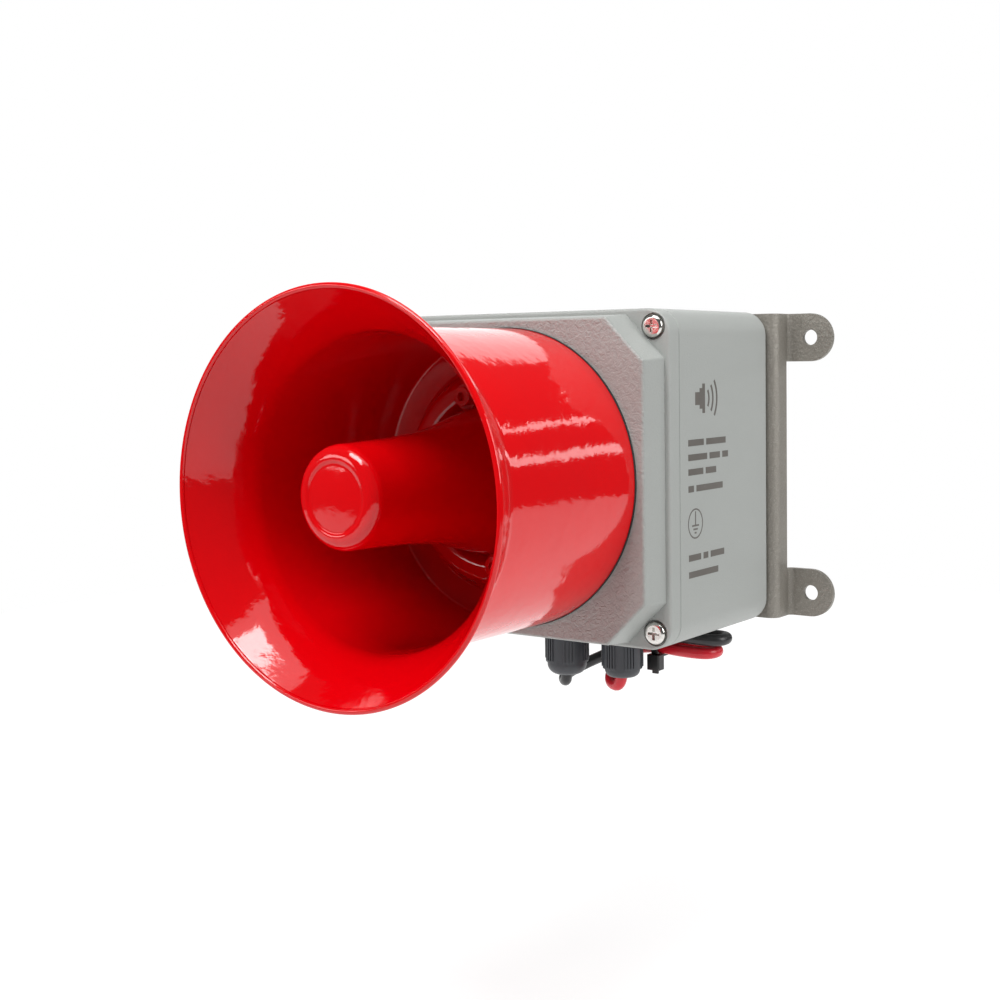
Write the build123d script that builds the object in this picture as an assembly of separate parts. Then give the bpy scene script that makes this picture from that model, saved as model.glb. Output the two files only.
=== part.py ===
"""Wall-mounted horn siren: reflex horn on a die-cast box, two cable glands, sheet-metal wall bracket.

Millimetres. The origin is the middle of the wall bracket's hole pattern, on the wall plane.
+Z is up, +Y goes into the wall, and the horn's mouth faces -Y. +X is to the right from the front.
"""
from build123d import *
import math
import os

# ---- driving sizes -------------------------------------------------------------------------------
# wall bracket
BRACKET_DEPTH = 14.0
BRACKET_SHEET = 2.0
BRACKET_HEIGHT = 118.6
BRACKET_OVERHANG = 3.0
BEND_INSIDE = 2.0
EAR_REACH = 12.0
EAR_HOLE_Z = 50.0
EAR_RADIUS = 9.3
EAR_HOLE_RADIUS = 3.0

# enclosure
BOX_WIDTH = 120.0
BOX_HEIGHT = 120.0
BODY_DEPTH = 70.0
WALL = 3.0
CORNER_RADIUS = 9.0
REAR_EDGE_RADIUS = 3.0
COLUMN = 10.0
CAVITY_RADIUS = 3.0
LID_RIM = 7.0
LID_EDGE_RADIUS = 1.2
SEAM_BEVEL = 0.4
LID_POCKET_DEPTH = 4.0
PLATEAU_HEIGHT = 13.0
PLATEAU_INSET = 1.9
PLATEAU_DRAFT = 0.9
PLATEAU_CORNER = 15.4
PLATEAU_EDGE_RADIUS = 1.2
PLATEAU_WALL = 3.5
GASKET_WIDTH = 1.6
GASKET_INSET = 0.6
GASKET_DEPTH = 1.6

# screws
LID_SCREW_INSET = 6.3
M4_RADIUS = 2.0
M4_HEAD_RADIUS = 4.0
M4_HEAD_HEIGHT = 2.6
M3_RADIUS = 1.5
M3_HEAD_RADIUS = 2.8
M3_HEAD_HEIGHT = 1.9
SCREW_CLEARANCE = 0.2
LID_SCREW_LENGTH = 20.0
LID_COUNTERBORE = 1.2
BRACKET_SCREW_X = 30.0
BRACKET_SCREW_Z = 44.0
BRACKET_SCREW_LENGTH = 9.0
BRACKET_BOSS_LENGTH = 7.0
BRACKET_BOSS_RADIUS = 4.5
WASHER_THICKNESS = 0.8
WASHER_RADIUS = 4.5

# horn
HORN_LENGTH = 95.7
HORN_INNER_RADIUS = 52.4
HORN_WALL = 1.6
HORN_MOUTH_RADIUS = 66.5
HORN_RIM_RADIUS = 1.0
HORN_FLOOR = 2.4
FLARE_BEND_RADIUS = 12.0
FLARE_BEND_ANGLE = 22.0
FLARE_CURVE_RADIUS = 60.0
FLARE_CURVE_ANGLE = 14.0
HORN_GASKET_THICKNESS = 0.8
RING_FOOT_RADIUS = 41.5
RING_TOP_RADIUS = 36.5
RING_INNER_RADIUS = 27.5
RING_HEIGHT = 9.0
HORN_SCREW_RADIUS = 38.0
HORN_SCREW_DEPTH = 5.0
HUB_RADIUS = 14.0
HUB_HEIGHT = 13.0

# reflector: the cup in the middle of the horn, with a flared skirt on four ears
REFLECTOR_FRONT = 91.6
REFLECTOR_GAP = 10.4
REFLECTOR_NOSE_RADIUS = 16.8
REFLECTOR_NOSE_ROUND = 5.6
REFLECTOR_MIDDLE_RADIUS = 18.2
REFLECTOR_SKIRT_RADIUS = 27.0
REFLECTOR_WALL = 2.0
REFLECTOR_DISC_RADIUS = 11.5
REFLECTOR_DISC_DEPTH = 0.4
EAR_COUNT = 4
REFLECTOR_EAR_CIRCLE = 30.5
REFLECTOR_EAR_TURN = 12.0
REFLECTOR_EAR_RADIUS = 4.8
REFLECTOR_EAR_THICKNESS = 2.4
THROAT_RADIUS = 10.0
THROAT_WALL = 1.6
THROAT_LENGTH = 72.0

# driver behind the lid
DRIVER_RADIUS = 32.0
DRIVER_GASKET = 0.8
DRIVER_FRONT_DEPTH = 9.0
DRIVER_EAR_CIRCLE = 38.0
DRIVER_EAR_RADIUS = 4.6
DRIVER_EAR_THICKNESS = 3.0
DRIVER_BOSS_HEIGHT = 3.0
NOZZLE_RADIUS = 12.0
DOME_RADIUS = 18.0
DOME_HEIGHT = 3.4
DOME_SHEET = 0.4
DIAPHRAGM_TRAVEL = 0.4
FORMER_LENGTH = 8.0
FORMER_WALL = 0.3
COIL_WALL = 0.5
COIL_LENGTH = 4.0
MAGNET_GAP = 0.5
SURROUND_WIDTH = 4.0
SURROUND_GAP = 0.25
SURROUND_SHEET = 0.5
TOP_PLATE = 4.0
MAGNET_DEPTH = 12.0
MAGNET_INNER_RADIUS = 22.0
BACK_PLATE = 4.0
DRIVER_COVER_WALL = 1.5
DRIVER_COVER_GAP = 1.0
DRIVER_WIRE_X = 4.0
DRIVER_WIRE_Z = 20.0
WIRE_RADIUS = 0.7

# circuit board and what stands on it
BOARD_WIDTH = 84.0
BOARD_HEIGHT = 84.0
BOARD_THICKNESS = 1.6
BOARD_SCREW_X = 37.0
BOARD_SCREW_Z = 37.0
BOARD_BOSS_RADIUS = 3.6
BOARD_GAP = 10.0
CORE_WIDTH = 30.0
CORE_DEPTH = 25.0
CORE_STACK = 13.0
CORE_LEG = 10.0
CORE_X = -14.0
CORE_Z = 20.0
BOBBIN_WALL = 0.8
WINDING_GAP = 0.3
TERMINAL_PITCH = 5.0
TERMINAL_DEPTH = 10.0
TERMINAL_HEIGHT = 9.0
TERMINAL_WAYS = 2
TERMINAL_Z = -34.0
MAINS_X = -18.0
SIGNAL_X = 14.0
OUTPUT_X = 31.0
OUTPUT_Z = 22.0
TERMINALS = ((MAINS_X, TERMINAL_Z), (SIGNAL_X, TERMINAL_Z), (OUTPUT_X, OUTPUT_Z))
CAPACITOR_RADIUS = 5.0
CAPACITOR_LENGTH = 16.0
CHIP_WIDTH = 10.0
CHIP_THICKNESS = 4.4
CHIP_LENGTH = 15.0
HEATSINK_WIDTH = 24.0
HEATSINK_LENGTH = 22.0
HEATSINK_FIN = 1.2
FUSE_RADIUS = 2.6
FUSE_LENGTH = 20.0

# earth stud
EARTH_X = -50.0
EARTH_Z = -20.0
EARTH_STUD_LENGTH = 16.0
NUT_ACROSS_FLATS = 7.0
NUT_THICKNESS = 3.2

# cable glands
GLAND_X = 13.0
GLAND_Y = -47.0
GLAND_BORE_CLEARANCE = 0.1
GLAND_SEAL_LENGTH = 7.5
GLAND_WASHER = 0.8
GLAND_HEX_HEIGHT = 4.6
GLAND_THREAD_INSIDE = 9.0
LOCKNUT_THICKNESS = 4.0
CAP_CLEARANCE = 0.6
CAP_RUNNING = 0.08
CAP_WALL = 2.0
CAP_MOUTH_RADIUS = 3.4
CAP_RIB_GROUPS = 6
CAP_RIBS = 4
CAP_RIB_DEPTH = 0.45
CAP_RIB_WIDTH = 0.7
LEFT_GLAND = dict(thread=7.6, hex_flats=18.0, cap=9.0, dome=7.9, ribbed=12.0, dome_length=5.2)
RIGHT_GLAND = dict(thread=6.8, hex_flats=16.0, cap=8.2, dome=6.9, ribbed=12.0, dome_length=3.4)

# leads outside the box
LEAD_RADIUS = 2.3
SEAL_END = -73.5
LEAD_START = -75.6
BLACK_ROUTE = [
    (-GLAND_X, GLAND_Y, LEAD_START), (-GLAND_X, GLAND_Y, -87.4), (-21.6, -37.8, -86.9),
    (-15.5, -29.6, -82.4), (-4.5, -28.8, -77.2), (5.5, -28.4, -71.4), (13.0, -30.4, -67.2),
    (22.5, -32.4, -66.1), (34.5, -35.4, -66.0), (48.5, -35.0, -66.2), (48.7, -24.4, -66.2),
    (35.0, -23.9, -66.4), (22.5, -27.6, -66.2), (10.0, -25.2, -65.6), (-3.0, -23.2, -65.4),
    (-16.5, -24.2, -65.4), (-29.0, -28.0, -65.8),
]
RED_ROUTE = [
    (GLAND_X, GLAND_Y, LEAD_START), (GLAND_X, GLAND_Y, -86.0), (3.0, -42.0, -85.8),
    (3.6, -35.8, -78.0), (10.5, -33.4, -72.6), (21.0, -32.1, -71.4), (32.0, -35.3, -71.5),
    (44.5, -35.0, -71.6), (44.7, -24.4, -71.6), (32.5, -24.3, -71.6), (21.0, -27.7, -71.4),
    (9.0, -23.4, -71.2), (-4.5, -19.8, -70.4), (-19.0, -19.2, -69.0), (-32.0, -21.4, -67.6),
]
CORE_RADIUS = 0.8
CORE_TIP_RADIUS = 0.5
CORE_LENGTH = 7.0
CORE_TIP_LENGTH = 4.0
TIE_X = 21.2
TIE_Y = -30.0
TIE_Z = -68.85
TIE_WIDTH = 2.6
TIE_THICKNESS = 1.0
TIE_INNER_Y = 11.4
TIE_INNER_Z = 11.0
TIE_HEAD = (5.6, 4.6, 6.0)

# ---- places worked out from the sizes -------------------------------------------------------------
EAR_HOLE_X = BOX_WIDTH / 2 + EAR_REACH
Y_BACK = -BRACKET_DEPTH
Y_SEAM = Y_BACK - BODY_DEPTH
Y_RIM = Y_SEAM - LID_RIM
Y_PLATEAU = Y_RIM - PLATEAU_HEIGHT
Y_LID_INSIDE = Y_PLATEAU + PLATEAU_WALL
Y_REAR_INSIDE = Y_BACK - WALL
Y_HORN = Y_PLATEAU - HORN_GASKET_THICKNESS
Y_FLOOR = Y_HORN - HORN_FLOOR
Y_MOUTH = Y_HORN - HORN_LENGTH
HALF_WIDTH = BOX_WIDTH / 2
HALF_HEIGHT = BOX_HEIGHT / 2
SCREW_X = HALF_WIDTH - LID_SCREW_INSET
SCREW_Z = HALF_HEIGHT - LID_SCREW_INSET
BOARD_Y = Y_REAR_INSIDE - BOARD_GAP
BOARD_FRONT = BOARD_Y - BOARD_THICKNESS
BOTTOM = -HALF_HEIGHT
CORNERS = [(1, 1), (-1, 1), (-1, -1), (1, -1)]

parts = {}


# ---- shared shapes --------------------------------------------------------------------------------
def rod_x(radius, start, end, y, z):
    """A round bar along X."""
    return Pos((start + end) / 2, y, z) * Rot(0, 90, 0) * Cylinder(radius, abs(end - start))


def rod_y(radius, start, end, x=0.0, z=0.0):
    """A round bar along Y."""
    return Pos(x, (start + end) / 2, z) * Rot(90, 0, 0) * Cylinder(radius, abs(end - start))


def rod_z(radius, start, end, x, y):
    """A round bar along Z."""
    return Pos(x, y, (start + end) / 2) * Cylinder(radius, abs(end - start))


def block(x_range, y_range, z_range):
    """A box between two values on each axis."""
    ranges = (x_range, y_range, z_range)
    middle = [(low + high) / 2 for low, high in ranges]
    size = [abs(high - low) for low, high in ranges]
    return Pos(*middle) * Box(*size)


def slab(outline, front, back):
    """An XZ outline made solid between two Y values."""
    return extrude(Plane.XZ.offset(-back) * outline, amount=back - front)


def turned(outline):
    """A profile in (radius, y) turned about the Y axis."""
    return revolve(outline, axis=Axis.Y)


def polygon(*points):
    """A closed flat face through the points."""
    return make_face(Polyline(*points, close=True))


def hexagon_z(across_flats, bottom, top, x, y, turn=0.0):
    """A hexagonal block along Z."""
    outline = RegularPolygon(across_flats / 2, 6, major_radius=False, rotation=turn)
    return Pos(x, y, bottom) * extrude(outline, amount=top - bottom)


def hexagon_y(across_flats, front, back, x, z):
    """A hexagonal block along Y."""
    outline = RegularPolygon(across_flats / 2, 6, major_radius=False)
    return slab(Pos(x, z) * outline, front, back)


def around(count, radius, start=0.0):
    """Places on a circle about the horn's axis."""
    turns = [math.radians(start + 360 / count * number) for number in range(count)]
    return [(radius * math.cos(turn), radius * math.sin(turn)) for turn in turns]


def joined(solids):
    """Separate solids kept as one group."""
    return Compound(children=list(solids))


def pan_screw(x, z, seat, length, radius, head_radius, head_height, direction):
    """A pan-head screw with a cross recess. Its shank runs from the seat along direction (+1 or -1 in Y)."""
    head_top = seat - direction * head_height
    head = rod_y(head_radius, seat, head_top, x, z)
    rim = head.edges().filter_by(GeomType.CIRCLE).sort_by(lambda e: abs(e.center().Y - head_top))[0]
    head = fillet(rim, head_height * 0.45)
    recess = head_height * 0.6
    slot = head_radius * 1.1
    cut_y = (head_top, head_top + direction * recess)
    blade = head_radius * 0.22
    head -= block((x - slot / 2, x + slot / 2), cut_y, (z - blade / 2, z + blade / 2))
    head -= block((x - blade / 2, x + blade / 2), cut_y, (z - slot / 2, z + slot / 2))
    return head + rod_y(radius, seat, seat + direction * length, x, z)


def washer(x, z, seat, direction):
    """A flat M4 washer that lies on the seat, on the side away from direction."""
    top = seat - direction * WASHER_THICKNESS
    hole = M4_RADIUS + SCREW_CLEARANCE
    return rod_y(WASHER_RADIUS, seat, top, x, z) - rod_y(hole, seat, top, x, z)


def bend_radii(points):
    """The largest tangent arc that each corner of a route has room for."""
    radii = []
    for before, here, after in zip(points, points[1:], points[2:]):
        run_in = Vector(*here) - Vector(*before)
        run_out = Vector(*after) - Vector(*here)
        half_turn = math.radians(run_in.get_angle(run_out)) / 2
        radii.append(0.45 * min(run_in.length, run_out.length) / math.tan(half_turn))
    return radii


def tube(points, radius):
    """A round lead along straight runs joined by tangent arcs."""
    path = FilletPolyline(*points, radius=bend_radii(points))
    start = Plane(origin=path @ 0, z_dir=path % 0)
    return sweep(start * Circle(radius), path=path)


# ---- enclosure --------------------------------------------------------------------------------------
def box_outline():
    """The outside of the enclosure seen from the front."""
    return RectangleRounded(BOX_WIDTH, BOX_HEIGHT, CORNER_RADIUS)


def cavity_outline(grow=0.0):
    """The inside: a cross that leaves the four screw columns standing."""
    long_x = BOX_WIDTH - 2 * WALL + 2 * grow
    long_z = BOX_HEIGHT - 2 * WALL + 2 * grow
    short_x = long_x - 2 * COLUMN
    short_z = long_z - 2 * COLUMN
    outline = Rectangle(long_x, short_z) + Rectangle(short_x, long_z)
    return fillet(outline.vertices(), CAVITY_RADIUS)


def octagon(half_x, half_z, corner):
    """A rectangle with its corners cut off at 45 degrees."""
    points = []
    for sign_x, sign_z in CORNERS:
        ends = [(sign_x * half_x, sign_z * (half_z - corner)), (sign_x * (half_x - corner), sign_z * half_z)]
        points += ends if sign_x * sign_z > 0 else ends[::-1]
    return polygon(*points)


def make_body():
    """The rear casting: columns for the lid screws, bosses for the bracket and the board."""
    body = slab(box_outline(), Y_SEAM, Y_BACK)
    rear_edges = body.faces().sort_by(Axis.Y)[-1].edges()
    body = fillet(rear_edges, REAR_EDGE_RADIUS)
    body = chamfer(body.faces().sort_by(Axis.Y)[0].edges(), SEAM_BEVEL)
    body -= slab(cavity_outline(), Y_SEAM, Y_REAR_INSIDE)
    for sign_x, sign_z in CORNERS:
        x, z = sign_x * BRACKET_SCREW_X, sign_z * BRACKET_SCREW_Z
        body += rod_y(BRACKET_BOSS_RADIUS, Y_REAR_INSIDE - BRACKET_BOSS_LENGTH, Y_REAR_INSIDE, x, z)
        body -= rod_y(M4_RADIUS, Y_BACK - BRACKET_SCREW_LENGTH + BRACKET_SHEET, Y_BACK, x, z)
        x, z = sign_x * BOARD_SCREW_X, sign_z * BOARD_SCREW_Z
        body += rod_y(BOARD_BOSS_RADIUS, BOARD_Y, Y_REAR_INSIDE, x, z)
        body -= rod_y(M3_RADIUS, BOARD_Y, BOARD_Y + BOARD_GAP - 2, x, z)
        x, z = sign_x * SCREW_X, sign_z * SCREW_Z
        body -= rod_y(M4_RADIUS, Y_SEAM, Y_SEAM + LID_SCREW_LENGTH, x, z)
    body += rod_y(BRACKET_BOSS_RADIUS, Y_REAR_INSIDE - 2, Y_REAR_INSIDE, EARTH_X, EARTH_Z)
    body -= rod_y(M4_RADIUS, Y_REAR_INSIDE - 2, Y_REAR_INSIDE + 1.5, EARTH_X, EARTH_Z)
    for x, gland in ((-GLAND_X, LEFT_GLAND), (GLAND_X, RIGHT_GLAND)):
        hole = gland["thread"] + GLAND_BORE_CLEARANCE
        body -= rod_z(hole, BOTTOM, BOTTOM + WALL, x, GLAND_Y)
    return body


def make_lid():
    """The front casting: a rim with four screw pads and a raised eight-sided plateau."""
    lid = slab(box_outline(), Y_RIM, Y_SEAM)
    lid = fillet(lid.faces().sort_by(Axis.Y)[0].edges(), LID_EDGE_RADIUS)
    lid = chamfer(lid.faces().sort_by(Axis.Y)[-1].edges(), SEAM_BEVEL)
    foot_x = HALF_WIDTH - PLATEAU_INSET
    foot_z = HALF_HEIGHT - PLATEAU_INSET
    foot = Plane.XZ.offset(-Y_RIM) * octagon(foot_x, foot_z, PLATEAU_CORNER)
    top_x = foot_x - PLATEAU_DRAFT
    top_z = foot_z - PLATEAU_DRAFT
    top = Plane.XZ.offset(-Y_PLATEAU) * octagon(top_x, top_z, PLATEAU_CORNER)
    plateau = loft([foot, top], ruled=True)
    front = plateau.faces().sort_by(Axis.Y)[0]
    sides = plateau.edges() - front.edges() - plateau.faces().sort_by(Axis.Y)[-1].edges()
    plateau = fillet(list(front.edges()) + list(sides), PLATEAU_EDGE_RADIUS)
    lid += plateau
    lid -= slab(cavity_outline(-1.0), Y_SEAM - LID_POCKET_DEPTH, Y_SEAM)
    pocket_corner = PLATEAU_CORNER + 0.6 * PLATEAU_WALL
    pocket = octagon(top_x - PLATEAU_WALL, top_z - PLATEAU_WALL, pocket_corner - PLATEAU_WALL + 2.0)
    lid -= slab(pocket, Y_LID_INSIDE, Y_SEAM)
    groove_in = cavity_outline(GASKET_INSET)
    groove_out = cavity_outline(GASKET_INSET + GASKET_WIDTH)
    lid -= slab(groove_out - groove_in, Y_SEAM - GASKET_DEPTH, Y_SEAM)
    for sign_x, sign_z in CORNERS:
        x, z = sign_x * SCREW_X, sign_z * SCREW_Z
        lid -= rod_y(M4_RADIUS + SCREW_CLEARANCE, Y_RIM, Y_SEAM, x, z)
        lid -= rod_y(M4_HEAD_RADIUS + 0.7, Y_RIM, Y_RIM + LID_COUNTERBORE, x, z)
    for x, z in around(EAR_COUNT, DRIVER_EAR_CIRCLE):
        lid += rod_y(DRIVER_EAR_RADIUS, Y_LID_INSIDE, Y_LID_INSIDE + DRIVER_BOSS_HEIGHT, x, z)
        lid -= rod_y(M4_RADIUS, Y_PLATEAU + 1.0, Y_LID_INSIDE + DRIVER_BOSS_HEIGHT, x, z)
    for x, z in around(EAR_COUNT, HORN_SCREW_RADIUS, 45):
        lid -= rod_y(M4_RADIUS + SCREW_CLEARANCE, Y_PLATEAU, Y_LID_INSIDE, x, z)
    return lid - rod_y(NOZZLE_RADIUS + SCREW_CLEARANCE, Y_PLATEAU, Y_LID_INSIDE)


def make_lid_gasket():
    """The rubber ring in the lid's groove, which passes inside the screws."""
    outline = cavity_outline(GASKET_INSET + GASKET_WIDTH) - cavity_outline(GASKET_INSET)
    return slab(outline, Y_SEAM - GASKET_DEPTH, Y_SEAM)


def make_lid_screws():
    """Four stainless screws in the lid's corner pads."""
    seat = Y_RIM + LID_COUNTERBORE
    length = Y_SEAM + LID_SCREW_LENGTH - 1 - seat
    places = [(sign_x * SCREW_X, sign_z * SCREW_Z) for sign_x, sign_z in CORNERS]
    return joined(
        pan_screw(x, z, seat, length, M4_RADIUS, M4_HEAD_RADIUS, M4_HEAD_HEIGHT, 1) for x, z in places)


# ---- wall bracket -----------------------------------------------------------------------------------
def make_bracket():
    """A hat of sheet metal: web on the box, two side flanges, four ears on the wall."""
    flange_x = HALF_WIDTH + BRACKET_OVERHANG
    ear_x = EAR_HOLE_X
    middle = BRACKET_SHEET / 2
    line = FilletPolyline(
        (-ear_x, -middle), (-flange_x + middle, -middle), (-flange_x + middle, Y_BACK + middle),
        (flange_x - middle, Y_BACK + middle), (flange_x - middle, -middle), (ear_x, -middle),
        radius=BEND_INSIDE + middle)
    strip = trace(line, line_width=BRACKET_SHEET)
    height = BRACKET_HEIGHT
    bracket = Pos(0, 0, -height / 2) * extrude(strip, amount=height, dir=(0, 0, 1))
    ear_low = EAR_HOLE_Z - EAR_RADIUS
    bend_end = flange_x + BEND_INSIDE
    for side in (-1, 1):
        x_range = sorted((side * flange_x, side * (ear_x + 1)))
        bracket -= block(x_range, (-BRACKET_SHEET - BEND_INSIDE - 1, 1), (-ear_low, ear_low))
        edge_x = sorted((side * (flange_x - BRACKET_SHEET - 1), side * (flange_x + 1)))
        bracket -= block(edge_x, (-BRACKET_SHEET - BEND_INSIDE, 1), (-ear_low, ear_low))
        for level in (-1, 1):
            z = level * EAR_HOLE_Z
            bracket += rod_y(EAR_RADIUS, -BRACKET_SHEET, 0, side * ear_x, z)
            inner = sorted((side * bend_end, side * ear_x))
            bracket += block(inner, (-BRACKET_SHEET, 0), (z - EAR_RADIUS, z + EAR_RADIUS))
            bracket -= rod_y(EAR_HOLE_RADIUS, -BRACKET_SHEET, 0, side * ear_x, z)
    for sign_x, sign_z in CORNERS:
        x, z = sign_x * BRACKET_SCREW_X, sign_z * BRACKET_SCREW_Z
        bracket -= rod_y(M4_RADIUS + SCREW_CLEARANCE, Y_BACK, Y_BACK + BRACKET_SHEET, x, z)
    return bracket


def bracket_screw_places():
    """Where the bracket is screwed to the box."""
    return [(sign_x * BRACKET_SCREW_X, sign_z * BRACKET_SCREW_Z) for sign_x, sign_z in CORNERS]


def make_bracket_screws():
    """Screws from the wall side through the web into the box."""
    seat = Y_BACK + BRACKET_SHEET + WASHER_THICKNESS
    return joined(
        pan_screw(x, z, seat, BRACKET_SCREW_LENGTH, M4_RADIUS, M4_HEAD_RADIUS, M4_HEAD_HEIGHT, -1)
        for x, z in bracket_screw_places())


# ---- horn -------------------------------------------------------------------------------------------
def bell_line(offset):
    """One side of the bell's wall: a straight pipe, a short bend and an opening curve to the mouth."""
    bend = math.radians(FLARE_BEND_ANGLE)
    full = math.radians(FLARE_BEND_ANGLE + FLARE_CURVE_ANGLE)
    bend_out = FLARE_BEND_RADIUS * (1 - math.cos(bend))
    curve_out = FLARE_CURVE_RADIUS * (math.cos(bend) - math.cos(full))
    straight_out = HORN_MOUTH_RADIUS - HORN_RIM_RADIUS - HORN_INNER_RADIUS - bend_out - curve_out
    straight = straight_out / math.sin(full)
    flare_depth = FLARE_BEND_RADIUS * math.sin(bend) + straight * math.cos(full)
    flare_depth += FLARE_CURVE_RADIUS * (math.sin(full) - math.sin(bend))
    start = Y_MOUTH + HORN_RIM_RADIUS + flare_depth
    radius = HORN_INNER_RADIUS + offset
    pipe = Line((radius, Y_HORN), (radius, start))
    short = JernArc(pipe @ 1, pipe % 1, FLARE_BEND_RADIUS - offset, FLARE_BEND_ANGLE)
    opening = JernArc(short @ 1, short % 1, FLARE_CURVE_RADIUS - offset, FLARE_CURVE_ANGLE)
    last = Line(opening @ 1, opening @ 1 + (opening % 1) * straight)
    return [pipe, short, opening, last]


def make_bell():
    """The red horn casting: pipe, flare, rounded rim, and a floor with a raised ring and bosses."""
    inside = bell_line(0.0)
    outside = bell_line(HORN_WALL)
    rim_in, rim_out = inside[-1] @ 1, outside[-1] @ 1
    ends = [Line(rim_in, rim_out), Line(outside[0] @ 0, inside[0] @ 0)]
    bell = turned(make_face(inside + outside + ends))
    rim_middle = (rim_in + rim_out) * 0.5
    bell += turned(Pos(rim_middle.X, rim_middle.Y) * Circle(HORN_RIM_RADIUS))
    ring_top = Y_FLOOR - RING_HEIGHT
    floor = polygon(
        (THROAT_RADIUS, Y_HORN), (HORN_INNER_RADIUS + HORN_WALL / 2, Y_HORN),
        (HORN_INNER_RADIUS + HORN_WALL / 2, Y_FLOOR), (RING_FOOT_RADIUS, Y_FLOOR),
        (RING_TOP_RADIUS, ring_top), (RING_INNER_RADIUS + 3, ring_top),
        (RING_INNER_RADIUS - 2, Y_FLOOR - HORN_FLOOR), (HUB_RADIUS, Y_FLOOR - HORN_FLOOR),
        (HUB_RADIUS, Y_HORN - HUB_HEIGHT), (THROAT_RADIUS, Y_HORN - HUB_HEIGHT))
    ring_corners = floor.vertices().sort_by_distance((RING_TOP_RADIUS, ring_top))[0:1]
    floor = fillet(ring_corners, 2.0)
    foot_corners = floor.vertices().sort_by_distance((RING_FOOT_RADIUS, Y_FLOOR))[0:1]
    bell += turned(fillet(foot_corners, 1.5))
    boss_top = Y_HORN - REFLECTOR_GAP - 2.2
    for x, z in around(EAR_COUNT, REFLECTOR_EAR_CIRCLE, REFLECTOR_EAR_TURN):
        bell += rod_y(REFLECTOR_EAR_RADIUS, boss_top, Y_HORN, x, z)
        bell -= rod_y(M4_RADIUS, boss_top, boss_top + 8, x, z)
    for x, z in around(EAR_COUNT, HORN_SCREW_RADIUS, 45):
        bell -= rod_y(M4_RADIUS, Y_HORN - HORN_SCREW_DEPTH - 0.5, Y_HORN, x, z)
    return bell


def make_horn_gasket():
    """The thin black rubber ring between the horn and the lid."""
    outer = HORN_INNER_RADIUS + HORN_WALL + 0.3
    inner = HORN_SCREW_RADIUS - 6.0
    ring = rod_y(outer, Y_HORN, Y_PLATEAU) - rod_y(inner, Y_HORN, Y_PLATEAU)
    for x, z in around(EAR_COUNT, HORN_SCREW_RADIUS, 45):
        ring -= rod_y(M4_RADIUS + SCREW_CLEARANCE, Y_HORN, Y_PLATEAU, x, z)
    return ring


def make_washers():
    """The eight alike washers: four under the bracket's screws, four under the horn's."""
    web = Y_BACK + BRACKET_SHEET
    washers = [washer(x, z, web, -1) for x, z in bracket_screw_places()]
    for x, z in around(EAR_COUNT, HORN_SCREW_RADIUS, 45):
        washers.append(washer(x, z, Y_LID_INSIDE, -1))
    return joined(washers)


def make_horn_screws():
    """Four screws from inside the lid into the horn's raised ring."""
    seat = Y_LID_INSIDE + WASHER_THICKNESS
    length = seat - (Y_HORN - HORN_SCREW_DEPTH)
    return joined(
        pan_screw(x, z, seat, length, M4_RADIUS, M4_HEAD_RADIUS - 0.3, M4_HEAD_HEIGHT, -1)
        for x, z in around(EAR_COUNT, HORN_SCREW_RADIUS, 45))


def reflector_side(inset):
    """The reflector's side from the nose to the skirt's edge, moved in by the wall for the inside."""
    nose = Y_HORN - REFLECTOR_FRONT + REFLECTOR_NOSE_ROUND
    skirt = Y_HORN - REFLECTOR_GAP - 2.2
    length = skirt - nose
    return Spline(
        (REFLECTOR_NOSE_RADIUS - inset, nose),
        (REFLECTOR_MIDDLE_RADIUS - inset, nose + 0.38 * length),
        (REFLECTOR_MIDDLE_RADIUS + 1.5 - inset, nose + 0.58 * length),
        (REFLECTOR_MIDDLE_RADIUS + 4.2 - inset, nose + 0.77 * length),
        (REFLECTOR_SKIRT_RADIUS - inset, skirt))


def make_reflector():
    """The red cup that turns the sound back: closed nose, flared skirt, four screw ears."""
    front = Y_HORN - REFLECTOR_FRONT
    nose = front + REFLECTOR_NOSE_ROUND
    skirt = Y_HORN - REFLECTOR_GAP - 2.2
    side = reflector_side(0.0)
    shoulder = EllipticalCenterArc(
        (REFLECTOR_DISC_RADIUS, nose), REFLECTOR_NOSE_RADIUS - REFLECTOR_DISC_RADIUS,
        REFLECTOR_NOSE_ROUND, start_angle=-90, arc_size=90)
    disc_y = front + REFLECTOR_DISC_DEPTH
    inside = reflector_side(REFLECTOR_WALL)
    roof = disc_y + REFLECTOR_WALL
    edges = [
        side, shoulder,
        Line((REFLECTOR_DISC_RADIUS, front), (REFLECTOR_DISC_RADIUS, disc_y)),
        Line((REFLECTOR_DISC_RADIUS, disc_y), (0, disc_y)),
        Line((0, disc_y), (0, roof)),
        Line((0, roof), (REFLECTOR_DISC_RADIUS, roof)),
        Line((REFLECTOR_DISC_RADIUS, roof), inside @ 0),
        inside,
        Line(inside @ 1, side @ 1),
    ]
    cup = turned(make_face(edges))
    inner_clear = rod_y(REFLECTOR_SKIRT_RADIUS - REFLECTOR_WALL - 0.6, skirt - 4, skirt)
    for x, z in around(EAR_COUNT, REFLECTOR_EAR_CIRCLE, REFLECTOR_EAR_TURN):
        ear = rod_y(REFLECTOR_EAR_RADIUS, skirt - REFLECTOR_EAR_THICKNESS, skirt, x, z)
        cup += ear - inner_clear
        cup -= rod_y(M4_RADIUS + SCREW_CLEARANCE, skirt - REFLECTOR_EAR_THICKNESS, skirt, x, z)
    return cup


def socket_screw(x, z, seat, length):
    """A socket-head screw that points into the horn's floor."""
    head = rod_y(3.5, seat - 3.0, seat, x, z)
    head = fillet(head.edges().filter_by(GeomType.CIRCLE).sort_by(lambda e: e.center().Y)[0], 0.5)
    head -= hexagon_y(3.0, seat - 3.0, seat - 1.2, x, z)
    return head + rod_y(M4_RADIUS, seat, seat + length, x, z)


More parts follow.
